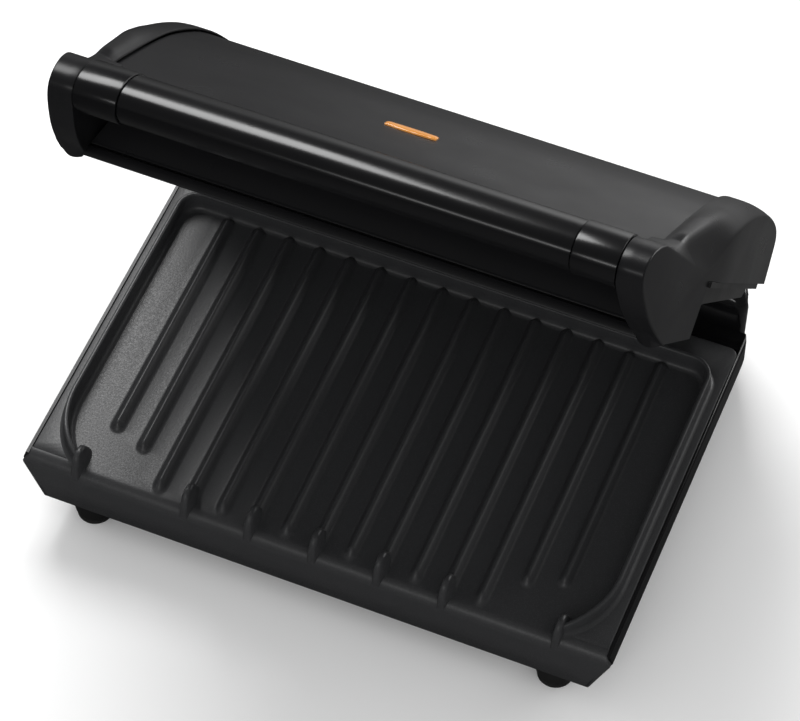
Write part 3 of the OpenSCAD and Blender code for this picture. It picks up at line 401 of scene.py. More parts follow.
# %% Materials of the slots
finish = {
    "housing_plastic": moulded("housing_plastic", (0.007, 0.007, 0.0075), 0.30, 0.38,
                               Specular_IOR_Level=0.3),
    "tower_plastic": moulded("tower_plastic", (0.003, 0.003, 0.0033), 0.13, 0.18, 0.02,
                             Specular_IOR_Level=0.45),
    "nonstick": coated("nonstick", (0.024, 0.0245, 0.026), (0.13, 0.133, 0.138)),
    "lid_plastic": moulded("lid_plastic", (0.008, 0.008, 0.0088), 0.27, 0.34,
                           Specular_IOR_Level=0.24),
    "handle_plastic": moulded("handle_plastic", (0.004, 0.004, 0.0045), 0.20, 0.25, 0.02,
                              Specular_IOR_Level=0.4),
    "foot_plastic": moulded("foot_plastic", (0.008, 0.008, 0.008), 0.4, 0.5),
    "pad_rubber": moulded("pad_rubber", (0.010, 0.010, 0.010), 0.7, 0.85, 0.3),
    "screw_steel": drawn_steel("screw_steel", (0.50, 0.51, 0.53), 0.25, 0.4),
    "rod_steel": drawn_steel("rod_steel", (0.62, 0.63, 0.65), 0.12, 0.25),
    "element_steel": drawn_steel("element_steel", (0.30, 0.27, 0.24), 0.35, 0.5),
    "sheet_steel": drawn_steel("sheet_steel", (0.62, 0.63, 0.64), 0.3, 0.45),
    "arm_metal": moulded("arm_metal", (0.030, 0.031, 0.033), 0.35, 0.45, 0.2),
    "bush_plastic": moulded("bush_plastic", (0.60, 0.55, 0.44), 0.4, 0.5),
    "block_plastic": moulded("block_plastic", (0.66, 0.63, 0.56), 0.4, 0.5),
    "ceramic": moulded("ceramic", (0.68, 0.64, 0.56), 0.55, 0.7, 0.3),
    "wire_sleeve": braided("wire_sleeve", (0.45, 0.42, 0.36)),
    "lens_amber": lit_amber("lens_amber", (0.50, 0.20, 0.035)),
    "lamp_glass": moulded("lamp_glass", (0.85, 0.50, 0.22), 0.05, 0.1, 0.0, Transmission_Weight=0.6),
}
slot_of = {s["node"]: s["material_slot"] for s in frame["record"]["subparts"]}
for name, obj in frame["nodes"].items():
    obj.data.materials.clear()
    obj.data.materials.append(finish[slot_of[name]])
print("finishes", len(finish), "on", len(slot_of), "nodes")

# %% [markdown]
# ## Lower plate
# The real plate is one aluminium casting: a flat rim, a thin fence that keeps the fat in,
# fifteen ribs that mark the food, and a lip that rolls over the front so that fat runs off
# between the fins. A casting has no sharp inner corner, so ribs and fence flare at the foot.

# %% Plate sizes
# Widths are measured from the middle, depths from the lip, heights from the widest line.
HALF_W = 201
PLATE_W, PLATE_D, PLATE_T, PLATE_R = 196.4, 252, 3, 6
RIM_Z = 7.3
WELL_W, WELL_D, WELL_R = 186.9, 228, 14
FLOOR_FRONT, FLOOR_BACK = 4.0, 5.5
# The fence is lower at its ends and rises to its full height within a short run.
FENCE_H, FENCE_T, FENCE_RISE, FENCE_END = 12.4, 3.2, 26, 0.62
ROLL_R, LIP_DROP = 8, 33.5
RIB_PITCH, RIB_LAST = 21.93, 7
FIN_X, FIN_TOP, FIN_W = WELL_W - 23.4, RIM_Z + 12.2, 7.6
# Half of a rib's section: distance from its middle and height over the floor.
RIB_VIEW = [(0, 5.2), (0.5, 5.1), (1.0, 4.8), (1.5, 4.3), (2.2, 3.35), (3.0, 2.2), (3.7, 1.2),
            (4.3, 0.55), (5.0, 0.16), (6.0, 0)]
# The lip's lower edge, from its face round to its back: depth and height.
LIP_END = [(0, -15), (0, 1 - LIP_DROP), (1, -LIP_DROP), (2, -LIP_DROP), (PLATE_T, 1 - LIP_DROP),
           (PLATE_T, -12)]
# Where the roll ends across, by height: it follows the tub's side, then the rim.
ROLL_END = [(-36, HALF_W - 14.5), (0, HALF_W - 0.6), (RIM_Z - 2, PLATE_W + 1), (RIM_Z, PLATE_W)]
print("plate", 2 * PLATE_W, "by", PLATE_D, "mm, ribs", 2 * RIB_LAST + 1)

# %% Floor and rib heights
RIB_FRONT = {7: 41.5, 6: 33.3}


def floor_z(d):
    """Height of the floor, which falls a little towards the lip."""
    return FLOOR_FRONT + (FLOOR_BACK - FLOOR_FRONT) * (d - ROLL_R) / (WELL_D - ROLL_R)


def rib_height(x, d):
    """Height of the ribs over the floor; each one ends in a round, the inner ones a longer one."""
    i = max(-RIB_LAST, min(RIB_LAST, round(x / RIB_PITCH)))
    front, back = RIB_FRONT.get(abs(i), 12) + 4, WELL_D - 8
    past = max(front - d, d - back, 0)
    soft = 1 if abs(i) in RIB_FRONT else 0.62
    return between(math.hypot(x - i * RIB_PITCH, past * soft), RIB_VIEW)


# %% Lines round the plate
BEND_STEPS, CORNER_STEPS = 16, 10
SIDE_STATIONS = (80, 110, 140, 170, 200)
BACK_STATIONS = (120, 60, 0)


def round_plate(front, half_w, depth, r):
    """Goes on from a front line up the side and round the corner to the middle of the back."""
    side = [Vector((half_w, d)) for d in SIDE_STATIONS]
    corner = arc((half_w - r, depth - r), r, 0, 90, CORNER_STEPS)
    return front + side + corner + [Vector((x, depth)) for x in BACK_STATIONS]


def fence_line():
    """Right half of the fence's crest, from its front end to the middle of the back."""
    bend = bezier([(FIN_X, 8), (WELL_W - 12, 14), (WELL_W + 1, 31), (WELL_W, 58)], BEND_STEPS)
    return round_plate(bend, WELL_W, WELL_D, WELL_R)


def rim_line():
    """Right half of the plate's outer edge: six steps along the front, then up the side."""
    front = [Vector((FIN_X + (PLATE_W - FIN_X) * min(1, k / 6), ROLL_R + 5 * max(0, k - 6)))
             for k in range(BEND_STEPS + 1)]
    return round_plate(front, PLATE_W, PLATE_D, PLATE_R)


# %% Plate floor and ribs
FLOOR_BEHIND = [WELL_D + 1, 226, 224.5, 223, 221.5, 220, 218, 180, 140, 100, 60, 50]
FLOOR_AHEAD = [47 - 1.5 * k for k in range(26)]


def floor_skin(side=0):
    """Ribbed floor between the end fins (side 0), or the strip outside one of them."""
    skin = Skin()
    if side == 0:
        across = [-w for w, _ in reversed(RIB_VIEW)] + [w for w, _ in RIB_VIEW[1:]]
        ribs = [i * RIB_PITCH + w for i in range(-RIB_LAST, RIB_LAST + 1) for w in across]
        xs = [-FIN_X] + ribs + [FIN_X]
    else:
        xs = [side * x for x in (FIN_X, 170, 178, WELL_W + 0.5)]
    rows = [[(x, d, floor_z(d) + rib_height(x, d)) for x in xs] for d in FLOOR_BEHIND + FLOOR_AHEAD]
    if side == 0:
        for p in arc((ROLL_R, FLOOR_FRONT - ROLL_R), ROLL_R, 94, 180, 12):
            fading = max(0, 1 - (ROLL_R - p.x) / 6)
            rows.append([(x, p.x, p.y + rib_height(x, p.x) * fading) for x in xs])
        for d, z in LIP_END:
            rows.append([(x, d, z) for x in xs])
    skin.loft(rows)
    return skin


# %% Plate rim and its roll over the lip
def rim_skin():
    """The flat rim outside the fence, and the ends of the roll outside the end fins."""
    skin = Skin()
    roll = arc((ROLL_R, RIM_Z - ROLL_R), ROLL_R, 90, 180, 12) + [Vector(p) for p in LIP_END]
    for s in (1, -1):
        rows = []
        for p, q in zip(fence_line(), rim_line()):
            inward = (p - q).normalized() if (p - q).length > 0.5 else Vector((0, 1))
            edge = [(p, 0), (q + inward, 0), (q + 0.3 * inward, 0.3), (q, 1), (q, PLATE_T)]
            rows.append([(s * spot.x, spot.y, RIM_Z - drop) for spot, drop in edge])
        skin.loft(rows[1:])
        rows = []
        for p in roll:
            x_end = between(p.y, ROLL_END)
            columns = [(x, 0) for x in (FIN_X, 170, 178, 186, x_end - 2.5, x_end - 1)]
            columns += [(x_end - 0.3, 0.25), (x_end, 0.9)]
            row = [(s * x, p.x + back, p.y) for x, back in columns]
            x, d, z = row[-1]
            rows.append(row + [(x, max(d, PLATE_T), z)])
        skin.loft(rows)
    return skin


# %% Fence
def fence_skin():
    """A thin wall with a round top, flared to the rim outside and to the floor inside."""
    skin = Skin()
    half = fence_line()
    line = half + [Vector((-p.x, p.y)) for p in reversed(half[:-1])]
    length = sum((b - a).length for a, b in zip(line, line[1:]))
    h = FENCE_T / 2
    run, rows = 0, []
    for i, (p, n) in enumerate(zip(line, normals(line))):
        run += (p - line[i - 1]).length if i else 0
        near = min(1, min(run, length - run) / FENCE_RISE)
        top = RIM_Z + FENCE_H * (FENCE_END + (1 - FENCE_END) * math.sin(near * math.pi / 2))
        low = floor_z(p.y)
        outside = [(h + 3.6, RIM_Z - 0.2), (h + 2.2, RIM_Z + 0.25), (h + 1.0, RIM_Z + 1.0),
                   (h + 0.3, RIM_Z + 2.6), (h, RIM_Z + 5), (h - 0.1, top - 1.2)]
        crest = [(h * 0.72, top - 0.35), (h * 0.3, top - 0.04), (-h * 0.3, top - 0.04),
                 (-h * 0.72, top - 0.35)]
        inside = [(0.1 - h, top - 1.2), (-h, low + 6), (-h - 0.4, low + 3), (-h - 1.3, low + 1.1),
                  (-h - 2.8, low + 0.25), (-h - 4.4, low - 0.2)]
        rows.append([(p.x - n.x * o, p.y - n.y * o, z) for o, z in outside + crest + inside])
    skin.loft(rows, caps=True)
    return skin


# %% Fins
# A fin's ridge from the floor over the lip, and half of its section: half width and share of
# its height.
FIN_SPINE = [(22, FLOOR_FRONT + 1.5), (19.5, FLOOR_FRONT + 7), (17.2, FIN_TOP - 4.6),
             (14.4, FIN_TOP - 1.3), (10.5, FIN_TOP), (7, FIN_TOP - 0.6), (4.0, FIN_TOP - 3),
             (1.9, FIN_TOP - 7.2), (0.4, FIN_TOP - 13.5), (0, FIN_TOP - 21)]
FIN_VIEW = [(FIN_W / 2 + 1.2, 0), (FIN_W / 2, 0.14), (FIN_W * 0.36, 0.55), (FIN_W * 0.28, 0.86),
            (FIN_W * 0.19, 0.97), (0, 1)]


def fin_skin(x):
    """A fat fin on the lip: a finger that starts on the floor and bows over the roll."""
    skin = Skin()
    cross = [(-w, h) for w, h in FIN_VIEW] + [(w, h) for w, h in reversed(FIN_VIEW[:-1])]
    ridge = spline(FIN_SPINE, 3)
    rows = []
    for k, p in enumerate(ridge):
        t = k / (len(ridge) - 1)
        foot_d = 20 * (1 - t) + 3 * t
        foot_z = FLOOR_FRONT - 0.6 if foot_d > ROLL_R else -6 * (1 - (foot_d - 3) / 5) + 2
        grow = 1 + 0.15 * t
        rows.append([(x + w * grow, foot_d + (p.x - foot_d) * h, foot_z + (p.y - foot_z) * h)
                     for w, h in cross])
    skin.loft(rows, caps=True)
    return skin


# %% The whole plate
lower = Skin()
for part in [floor_skin(0), floor_skin(1), floor_skin(-1), rim_skin(), fence_skin()]:
    lower.add(part)
for x in [i * 2 * RIB_PITCH for i in range(-2, 3)] + [-FIN_X, FIN_X]:
    lower.add(fin_skin(x))
piece("lower_plate", lower, BASE, "base", "nonstick", ("lower_grill_plate",), sharp=50)

# %% [markdown]
# ## The lid's side view
# The whole lid is drawn from a few side views: the roof's line beside the cover, the line
# along the side faces, the nose and the grip. Each point is a distance along the lid's datum
# line and a height over it. One view serves several pieces, moved in or out by a step, so
# that they stay in line where they meet.

# %% Side views and widths
LID_HALF_W, COVER_HALF_W, GRIP_HALF_W = 200.8, 174.9, 138
CAP_IN, PANEL_A, SHOULDER_A = 165.6, 236, 162
LID_WALL, GRIP_WALL = 2.4, 3.2
ROOF = [(-28, 0.7), (-22, 18), (-14, 34), (8, 43.4), (48, 48), (84, 49), (112, 47.7), (144, 43.8),
        (170, 38.5), (196, 32), (219, 25.6), (236, 20.8), (249, 16.8)]
ROOF_NOSE = [(249, 16.8), (262, 15), (280, 15), (297, 16), (309, 14.4), (319, 10.2), (325.4, 3.6),
             (326, -3.6), (320, -10.6), (307, -18.6), (288, -27.8), (266, -35.4), (243, -41.3)]
EDGE = [(-28, 0.7), (-22, 17), (-14, 31.6), (8, 39.6), (48, 44), (84, 43.6), (112, 41), (144, 35.6),
        (164, 29.2), (182, 17.8), (192, 11.2), (205, 7.3), (228, 7.4)]
NOSE = [(228, 7.4), (256, 10.9), (280, 14.2)] + ROOF_NOSE[3:]
GRIP = NOSE[:8] + [(320.5, -9.6), (311, -13.2), (304, -13.8)]


def lid_point(x, p):
    """A point of the lid drawing from its place across and its side view."""
    return (x, -p[0], p[1])


def bar(x0, x1, line, thick, r):
    """A hollow bar across the lid: a side view with both its ends rounded by r."""
    skin = Skin()
    inner = list(reversed(beside(line, -thick)))
    ends = [(0, 1), (0.12, 0.5), (0.4, 0.12), (1, 0)]
    columns = [(x0 + f * r, g * r) for f, g in ends] + [(x1 - f * r, g * r) for f, g in reversed(ends)]
    rows = [[lid_point(x, p) for p in beside(line, -drop) + inner] for x, drop in columns]
    skin.loft(rows, closed=True, caps=True)
    return skin


# %% [markdown]
# ## Cutting a hole
# A hole is easiest to make as in a workshop: the body is drawn whole, and the shape of the
# tool is then taken out of it. Blender's boolean modifier does that, and the skin that is
# left goes on as before.

# %% Cutting tools
def solid_of(name, skin):
    """A mesh object from a skin, for a modifier to work on."""
    mesh = bpy.data.meshes.new(name)
    mesh.from_pydata(skin.points, [], skin.faces)
    body = bpy.data.objects.new(name, mesh)
    bpy.context.scene.collection.objects.link(body)
    return body


def evaluated(body):
    """The skin left when an object's modifiers have done their work."""
    graph = bpy.context.evaluated_depsgraph_get()
    solid = bpy.data.meshes.new_from_object(body.evaluated_get(graph))
    skin = Skin()
    skin.points = [tuple(v.co) for v in solid.vertices]
    skin.faces = [tuple(f.vertices) for f in solid.polygons]
    return skin


def cut(skin, cutters):
    """The skin with the shapes of the cutters taken out."""
    body = solid_of("cut_body", skin)
    tools = [solid_of("cut_tool", c) for c in cutters]
    for tool in tools:
        taken = body.modifiers.new("cut", "BOOLEAN")
        taken.object, taken.operation, taken.solver = tool, "DIFFERENCE", "EXACT"
        taken.use_self = True
    result = evaluated(body)
    for used in [body] + tools:
        bpy.data.objects.remove(used)
    return result


# %% [markdown]
# ## Cover
# The roof is a bent sheet between the two end caps. It lies 2.4 mm below their line, so that
# the caps frame it. One hole is cut in it for the indicator's lens, with a thin gap all
# round, which shows as a dark line, as it does round every separate moulding.

# %% Line of the cover
COVER_STEP = 2.4
BACK_WALL_A, SHEET_LOW = -14, 9


def over_roof(p):
    """A point of the roof's line let down to the sheet: forwards in the back wall, else down."""
    forwards = COVER_STEP if p.x < BACK_WALL_A else 0
    down = COVER_STEP if p.y > SHEET_LOW else 0
    return Vector((p.x + forwards, p.y - down))


def height_on(line, a):
    """Height of a side view's line at the distance a."""
    p, q = next((p, q) for p, q in zip(line, line[1:]) if p.x <= a <= q.x)
    return p.y + (q.y - p.y) * (a - p.x) / (q.x - p.x)


cover_line = [over_roof(p) for p in spline(ROOF, 6)]
print("cover's top", round(max(p.y for p in cover_line), 1), "mm over the datum line")

# %% Place of the lens
LENS_L, LENS_W, LENS_BULGE, LENS_RISE = 16.6, 4.5, 1.2, 1.5
LENS_A, SLOPE_SPAN, PLUG = 194, 6, 9
LENS_B = height_on(cover_line, LENS_A)
slope_fall = height_on(cover_line, LENS_A - SLOPE_SPAN) - height_on(cover_line, LENS_A + SLOPE_SPAN)
LENS_TILT = math.atan(slope_fall / (2 * SLOPE_SPAN))
lens_place = Matrix.Translation((0, -LENS_A, LENS_B)) @ Matrix.Rotation(LENS_TILT, 4, "X")
print("lens tilted by", round(math.degrees(LENS_TILT), 1), "degrees")


def lens_hole(gap):
    """Plug the size of the lens and a gap round it, to cut its hole in the sheet."""
    skin = Skin()
    half = []
    for u in (k / 6 for k in range(-6, 7)):
        half.append((LENS_L * u + math.copysign(gap, u), LENS_W - LENS_BULGE * u * u + gap))
    ring = half + [(x, -w) for x, w in reversed(half)]
    rows = [[lens_place @ Vector((x, y, z)) for x, y in ring] for z in (-PLUG, PLUG)]
    skin.loft(rows, closed=True, caps=True)
    return skin


# %% Cover with its hole
cover_skin = cut(bar(-COVER_HALF_W, COVER_HALF_W, cover_line, LID_WALL, 0.5), [lens_hole(0.7)])
piece("cover", cover_skin, LID, "lid", "lid_plastic", ("lid_cover",), sharp=30)

# %% [markdown]
# ## End caps
# Each cap frames the cover with a fine round along the joint. From there its roof line falls
# to the line of the side face, over a band that widens towards the back, and a few
# millimetres of swell before the nose catch the light. The cap is drawn as an open skin of
# many sections; Blender's solidify modifier then gives it the wall of a moulding.

# %% Widths of a cap
SHOULDER_SOFT, SIDE_SLOPE = 14, 0.12
ROOF_END_A, PANEL_TOP, PANEL_LOW, INNER_LOW = 249.5, -12.6, -41.4, 177.4


def cap_half_w(a):
    """Half width of the caps; the sides run in towards the nose past a soft shoulder."""
    past = max(0, a - SHOULDER_A + SHOULDER_SOFT)
    bent = past * past / (4 * SHOULDER_SOFT)
    return LID_HALF_W - SIDE_SLOPE * (bent if past < 2 * SHOULDER_SOFT else past - SHOULDER_SOFT)


def cap_inner(p):
    """Where a cap ends inwards: beside the cover, the grip or the front panel."""
    if p.x > PANEL_A and p.y < PANEL_TOP:
        return CAP_IN + (INNER_LOW - CAP_IN) * (PANEL_TOP - p.y) / (PANEL_TOP - PANEL_LOW)
    return COVER_HALF_W + 0.4 if p.x < ROOF_END_A else CAP_IN


# %% Section of a cap
JOINT_ROUND = [(0, 1.1), (0.15, 0.55), (0.5, 0.15), (1.2, 0)]
CAP_STATIONS = (21, 18, 15.5, 13, 11, 9, 7.4, 6, 4.6, 3.4, 2.4, 1.7, 1.0, 0.5, 0.2, 0)
SWELL_W = 25.1


def cap_section(p):
    """Section of a cap at one spot of the roof: place across, share of the fall, and depth."""
    inner = cap_inner(p)
    edge_r = 1.7 if p.x > 262 else 1.1
    fall_w = 18 - 7 * ramp(p.x, 140, 190)
    swell = 4 * min(ramp(p.x, 150, 200), ramp(p.x, 264, 240))
    section = [(inner + step, 0, depth) for step, depth in JOINT_ROUND]
    for d in CAP_STATIONS:
        over = max(0, edge_r - d) / edge_r
        share = max(0, 1 - d / fall_w) ** 2.3
        hump = swell * math.sin(math.pi * (SWELL_W - d) / SWELL_W) * (1 - share)
        depth = edge_r * (1 - math.sqrt(1 - over * over)) - hump
        section.append((LID_HALF_W - d, share, depth))
    return section


# %% Cap as a shell
def cap_sheet():
    """Outer skin of the right cap: roof, nose, side face and the corner beside the panel."""
    roof = spline(ROOF, 6)[:-1] + spline(ROOF_NOSE, 6)
    low_edge = spline(EDGE, 6)[:-1] + spline(NOSE, 6)
    sheet = bmesh.new()
    rows = []
    for p, q, n in zip(roof, low_edge, normals(roof)):
        spots = [(x, p.lerp(q, share) - n * depth) for x, share, depth in cap_section(p)]
        rows.append([sheet.verts.new((x, -spot.x, spot.y)) for x, spot in spots])
    for r, s in zip(rows, rows[1:]):
        for k in range(len(r) - 1):
            sheet.faces.new((r[k], r[k + 1], s[k + 1], s[k]))
    edge = [row[-1] for row in rows]
    low = [sheet.verts.new((LID_HALF_W, -a, b)) for a, b in ((194, -35.5), (191.5, 0.3))]
    sheet.faces.new(edge + low)
    seam = [row[0] for row, p in zip(rows, roof) if p.x >= ROOF_END_A or p.y < 0 and p.x > PANEL_A]
    corner = sheet.verts.new((CAP_IN, -PANEL_A - 0.5, PANEL_TOP))
    sheet.faces.new([corner] + seam)
    return sheet


def cap_skin():
    """Right cap with its wall; its sides are drawn in after cuts that let them bend."""
    sheet = cap_sheet()
    for a in range(SHOULDER_A - SHOULDER_SOFT, SHOULDER_A + SHOULDER_SOFT + 1, 7):
        everything = sheet.verts[:] + sheet.edges[:] + sheet.faces[:]
        bmesh.ops.bisect_plane(sheet, geom=everything, plane_co=(0, -a, 0), plane_no=(0, 1, 0))
    for v in sheet.verts:
        v.co.x = CAP_IN + (v.co.x - CAP_IN) * (cap_half_w(-v.co.y) - CAP_IN) / (LID_HALF_W - CAP_IN)
    bmesh.ops.recalc_face_normals(sheet, faces=sheet.faces)
    mesh = bpy.data.meshes.new("cap_drawing")
    sheet.to_mesh(mesh)
    sheet.free()
    drawing = bpy.data.objects.new("cap_drawing", mesh)
    bpy.context.scene.collection.objects.link(drawing)
    shell = drawing.modifiers.new("wall", "SOLIDIFY")
    shell.thickness, shell.offset, shell.use_even_offset = LID_WALL, -1, True
    skin = evaluated(drawing)
    bpy.data.objects.remove(drawing)
    return skin


cap = cap_skin()
for side, mirrored in (("right", False), ("left", True)):
    piece(f"cap_{side}", cap, LID, "lid", "lid_plastic", (f"end_cap_{side}",), sharp=32, mirrored=mirrored)

# %% [markdown]
# ## Handle, collars and front panel
# The grip is a glossy C-shaped bar across the nose. A slightly thicker collar hides each
# joint with the caps. Below it hangs the matt front panel, with a shadow groove above a
# thicker lower edge that stiffens the thin wall.

# %% Handle and collars
JOINT = 0.3
grip_line = spline(GRIP, 6)
grip = bar(-GRIP_HALF_W, GRIP_HALF_W, grip_line, GRIP_WALL, 0.8)
piece("grip", grip, LID, "lid", "handle_plastic", ("handle",), sharp=30)
collar = bar(GRIP_HALF_W + JOINT, CAP_IN - JOINT, beside(grip_line, 1), GRIP_WALL, 0.9)
for side, mirrored in (("right", False), ("left", True)):
    piece(f"collar_{side}", collar, LID, "lid", "handle_plastic", (f"handle_collar_{side}",),
          sharp=30, mirrored=mirrored)

# %% Front panel
PANEL_T, LOW_EDGE_T, LOW_EDGE_TOP, END_STEP = 3.2, 2.4, -33, 0.5
PANEL = [(236, 3.4), (239, -6), (242, -16), (243.4, -25), (244.0, -31.6), (243.2, -32.4),
         (243.0, -33.4), (243.6, -34.2), (246.2, -34.8), (247.0, -36), (247.5, -39.5),
         (247.3, -41), (246.4, -41.5)]


def panel_skin():
    """The panel's wall, carried across between the caps; its ends step in a little."""
    line = [Vector(p) for p in PANEL]
    back = []
    for p in reversed(line):
        thick = PANEL_T + (LOW_EDGE_T if p.y < LOW_EDGE_TOP else 0)
        back.append(Vector((p.x - thick, p.y)))
    rows = []
    for f in [-1, -0.9965] + [k / 8 for k in range(-7, 8)] + [0.9965, 1]:
        row = []
        for k, p in enumerate(line + back):
            end = CAP_IN - 0.6 + (INNER_LOW - CAP_IN) * ramp(p.y, PANEL_TOP, PANEL_LOW)
            step = END_STEP if abs(f) == 1 and k < len(line) else 0
            row.append((f * end, step - p.x, p.y))
        rows.append(row)
    skin = Skin()
    skin.loft(rows, closed=True, caps=True)
    return skin


piece("front_panel", panel_skin(), LID, "lid", "lid_plastic", ("lid_front_panel",), sharp=35)

# %% [markdown]
# ## Indicator lens
# One long amber window lets the light of a lamp out of the lid. It is a clear moulding that
# stands up through the hole in the cover, domed both ways so that it can be seen from the
# side, and its ends are cut square with a little round.

# %% Lens
LENS_ALONG, LENS_ACROSS, LENS_FOOT = 24, 12, 0.9


def lens_skin():
    """Arches from end to end of the lens, each on a short upright foot."""
    rows = []
    for i in range(LENS_ALONG + 1):
        u = -1 + 2 * i / LENS_ALONG
        half = LENS_W - LENS_BULGE * u * u
        end = max(0, (abs(u) - 0.9) / 0.1)
        row = []
        for k in range(LENS_ACROSS + 1):
            t = math.pi * k / LENS_ACROSS
            rise = LENS_RISE * math.sin(t) ** 0.6 * (1 - 0.35 * end * end)
            foot = LENS_FOOT if k in (0, LENS_ACROSS) else 0
            row.append(lens_place @ Vector((LENS_L * u, -half * math.cos(t), rise - foot)))
        rows.append(row)
    skin = Skin()
    skin.loft(rows, caps=True)
    return skin


piece("lens", lens_skin(), LID, "lid", "lens_amber", ("indicator_lens",), sharp=60)

# %% [markdown]
# ## Base housing and other half hidden parts
# The tub is a thick-walled moulding, and every outer edge of a moulding has a radius, because
# a sharp corner in the mould wears and cracks. Its exact solid already exists, so that mesh
# is cleaned up and only its long outer edges are rounded off. The same is done for other
# parts that are half hidden.

# %% Softened copies of CAD solids
CAD_MERGE, FLAT, CORNER, LONG_EDGE = 5e-6, math.radians(0.6), math.radians(28), 6


def is_corner(edge):
    """True for a long convex edge between two faces."""
    return (len(edge.link_faces) == 2 and edge.is_convex and edge.calc_face_angle(0) > CORNER
            and edge.calc_length() * 1000 > LONG_EDGE)


def softened(source, body, r, sharp):
    """A copy of a CAD solid with its long convex edges rounded by r millimetres."""
    work = bmesh.new()
    work.from_mesh(frame["nodes"][source].data)
    bmesh.ops.transform(work, matrix=frame["nodes"][source].matrix_world, verts=work.verts)
    bmesh.ops.remove_doubles(work, verts=work.verts, dist=CAD_MERGE)
    bmesh.ops.dissolve_limit(work, angle_limit=FLAT, verts=work.verts, edges=work.edges)
    corners = [e for e in work.edges if is_corner(e)]
    bmesh.ops.bevel(work, geom=corners, offset=r / 1000, segments=3, profile=0.5,
                    affect="EDGES", clamp_overlap=True)
    mesh = bpy.data.meshes.new(source + "_soft")
    work.to_mesh(mesh)
    work.free()
    shade(mesh, sharp)
    return placed(source + "_soft", mesh, body, slot_of[source], (source,))


for source, body, r, sharp in (("base_housing", "base", 0.9, 35),
                               ("base_bottom_cover", "base", 0.5, 35),
                               ("lid_frame", "lid", 0.5, 35),
                               ("upper_grill_plate", "lid", 0.6, 50),
                               ("hinge_arm_left", "lid", 1.2, 35),
                               ("hinge_arm_right", "lid", 1.2, 35)):
    softened(source, body, r, sharp)

# %% [markdown]
# ## Rear cover
# A second glossy moulding closes the back of the base: a low deck with a tower at each end.
# The towers hold the floating hinge rod. Their rounded shoulders are drawn as plans, one
# above the other, as the contour lines of a hill are.

# %% Plan of a tower
BASE_D, TOWER_IN, TOWER_H, TOWER_R = 320, 150, 40, 12
TOWER_D, DECK_D, DECK_H = 265.5, 252.3, 7
SHOULDER_Z, PLAN_POINTS = TOWER_H - TOWER_R, 12
rear_corner = bezier([(201, 246), (201, 264), (180, 318), (135, 320)], 60)


def drawn_in(over, r):
    """How far a quarter round of radius r has drawn in, so far over its start."""
    over = max(0, over)
    return r - math.sqrt(max(0, r * r - over * over))


def tower_ring(z, t):
    """Plan of the right tower at one height, t inside its outer skin."""
    r = TOWER_R - t
    bow = math.sqrt(max(0, r * r - max(0, z - SHOULDER_Z) ** 2))
    front = TOWER_D + TOWER_R - bow
    leaning = BASE_D - t - max(0, z - 10) * 5.6 / 24
    back = min(leaning, 304 + bow if z > SHOULDER_Z else BASE_D)
    side = HALF_W - t - 0.25 * z - drawn_in(z + t * 0.6 - 30, 10)
    low = 0.45 * max(0, 1 - z / 0.6) if t == 0 else 0
    inner = TOWER_IN + t + (drawn_in(z - 38, 2) if t == 0 else 0)
    path = [p for p in rear_corner if front + 7 <= p.y and p.x > inner + 2.5]
    path = [path[round(k * (len(path) - 1) / PLAN_POINTS)] for k in range(PLAN_POINTS + 1)]
    first = min(path[0].x - t, side) - low
    ring = arc((inner + 2.5, front + low + 2.5), 2.5, 180, 270, 4)
    ring += arc((first - 7, front + low + 7), 7, 270, 360, 6)
    ring += [Vector((min(p.x - t, side) - low, min(p.y - t, back) - low)) for p in path[1:]]
    return [(p.x, p.y, z) for p in ring] + [(inner, min(ring[-1].y, back), z)]


# %% Towers and deck
DECK_FRONT = [(DECK_D, 0), (DECK_D, 6.3), (DECK_D + 0.2, 6.8), (DECK_D + 0.7, DECK_H)]
OUTSIDE = [0, 0.6, 6, 12, 18, 24, SHOULDER_Z]
OUTSIDE += [SHOULDER_Z + TOWER_R * math.sin(math.radians(15 * k)) for k in range(1, 7)]
INSIDE = [0, 12, 24]
INSIDE += [SHOULDER_Z + (TOWER_R - LID_WALL) * math.sin(math.radians(30 * k)) for k in range(1, 4)]


def deck_row(x):
    """Section of the deck between the towers; at its ends it follows the rear corners."""
    back = BASE_D
    if abs(x) > rear_corner[-1].x:
        back = max(p.y for p in rear_corner if p.x >= abs(x))
    pull = BASE_D - back
    edge = arc((BASE_D - 5, DECK_H - 5), 5, 90, 0, 6)
    top = DECK_FRONT + [(p.x - pull, p.y) for p in edge] + [(BASE_D - pull, 0)]
    low = [(BASE_D - pull - LID_WALL, 0), (BASE_D - pull - LID_WALL, DECK_H - 5),
           (BASE_D - 5 - LID_WALL, DECK_H - LID_WALL), (DECK_D + LID_WALL, DECK_H - LID_WALL),
           (DECK_D + LID_WALL, 0)]
    return [(x, d, z) for d, z in top + low]


def rear_cover_skin():
    """Both towers with their walls, a strip in front of each, and the deck between them."""
    skin = Skin()
    strip = DECK_FRONT + [(TOWER_D + 0.6, DECK_H), (TOWER_D + 0.6, 0)]
    for s in (1, -1):
        shell = [tower_ring(z, 0) for z in reversed(OUTSIDE)] + [tower_ring(z, LID_WALL) for z in INSIDE]
        skin.loft([[(s * x, d, z) for x, d, z in row] for row in shell], closed=True, caps=True)
        ends = (TOWER_IN - 1, 190, PLATE_W - 0.5, PLATE_W)
        skin.loft([[(s * x, d, z) for d, z in strip] for x in ends], closed=True, caps=True)
    shares = [-1] + [k / 10 for k in range(-9, 10)] + [1]
    skin.loft([deck_row(f * TOWER_IN) for f in shares], closed=True, caps=True)
    return skin


# %% Slots for the rod
HINGE_D, HINGE_H, FLOAT, SLOT_R = 294, 20, 8, 4.6


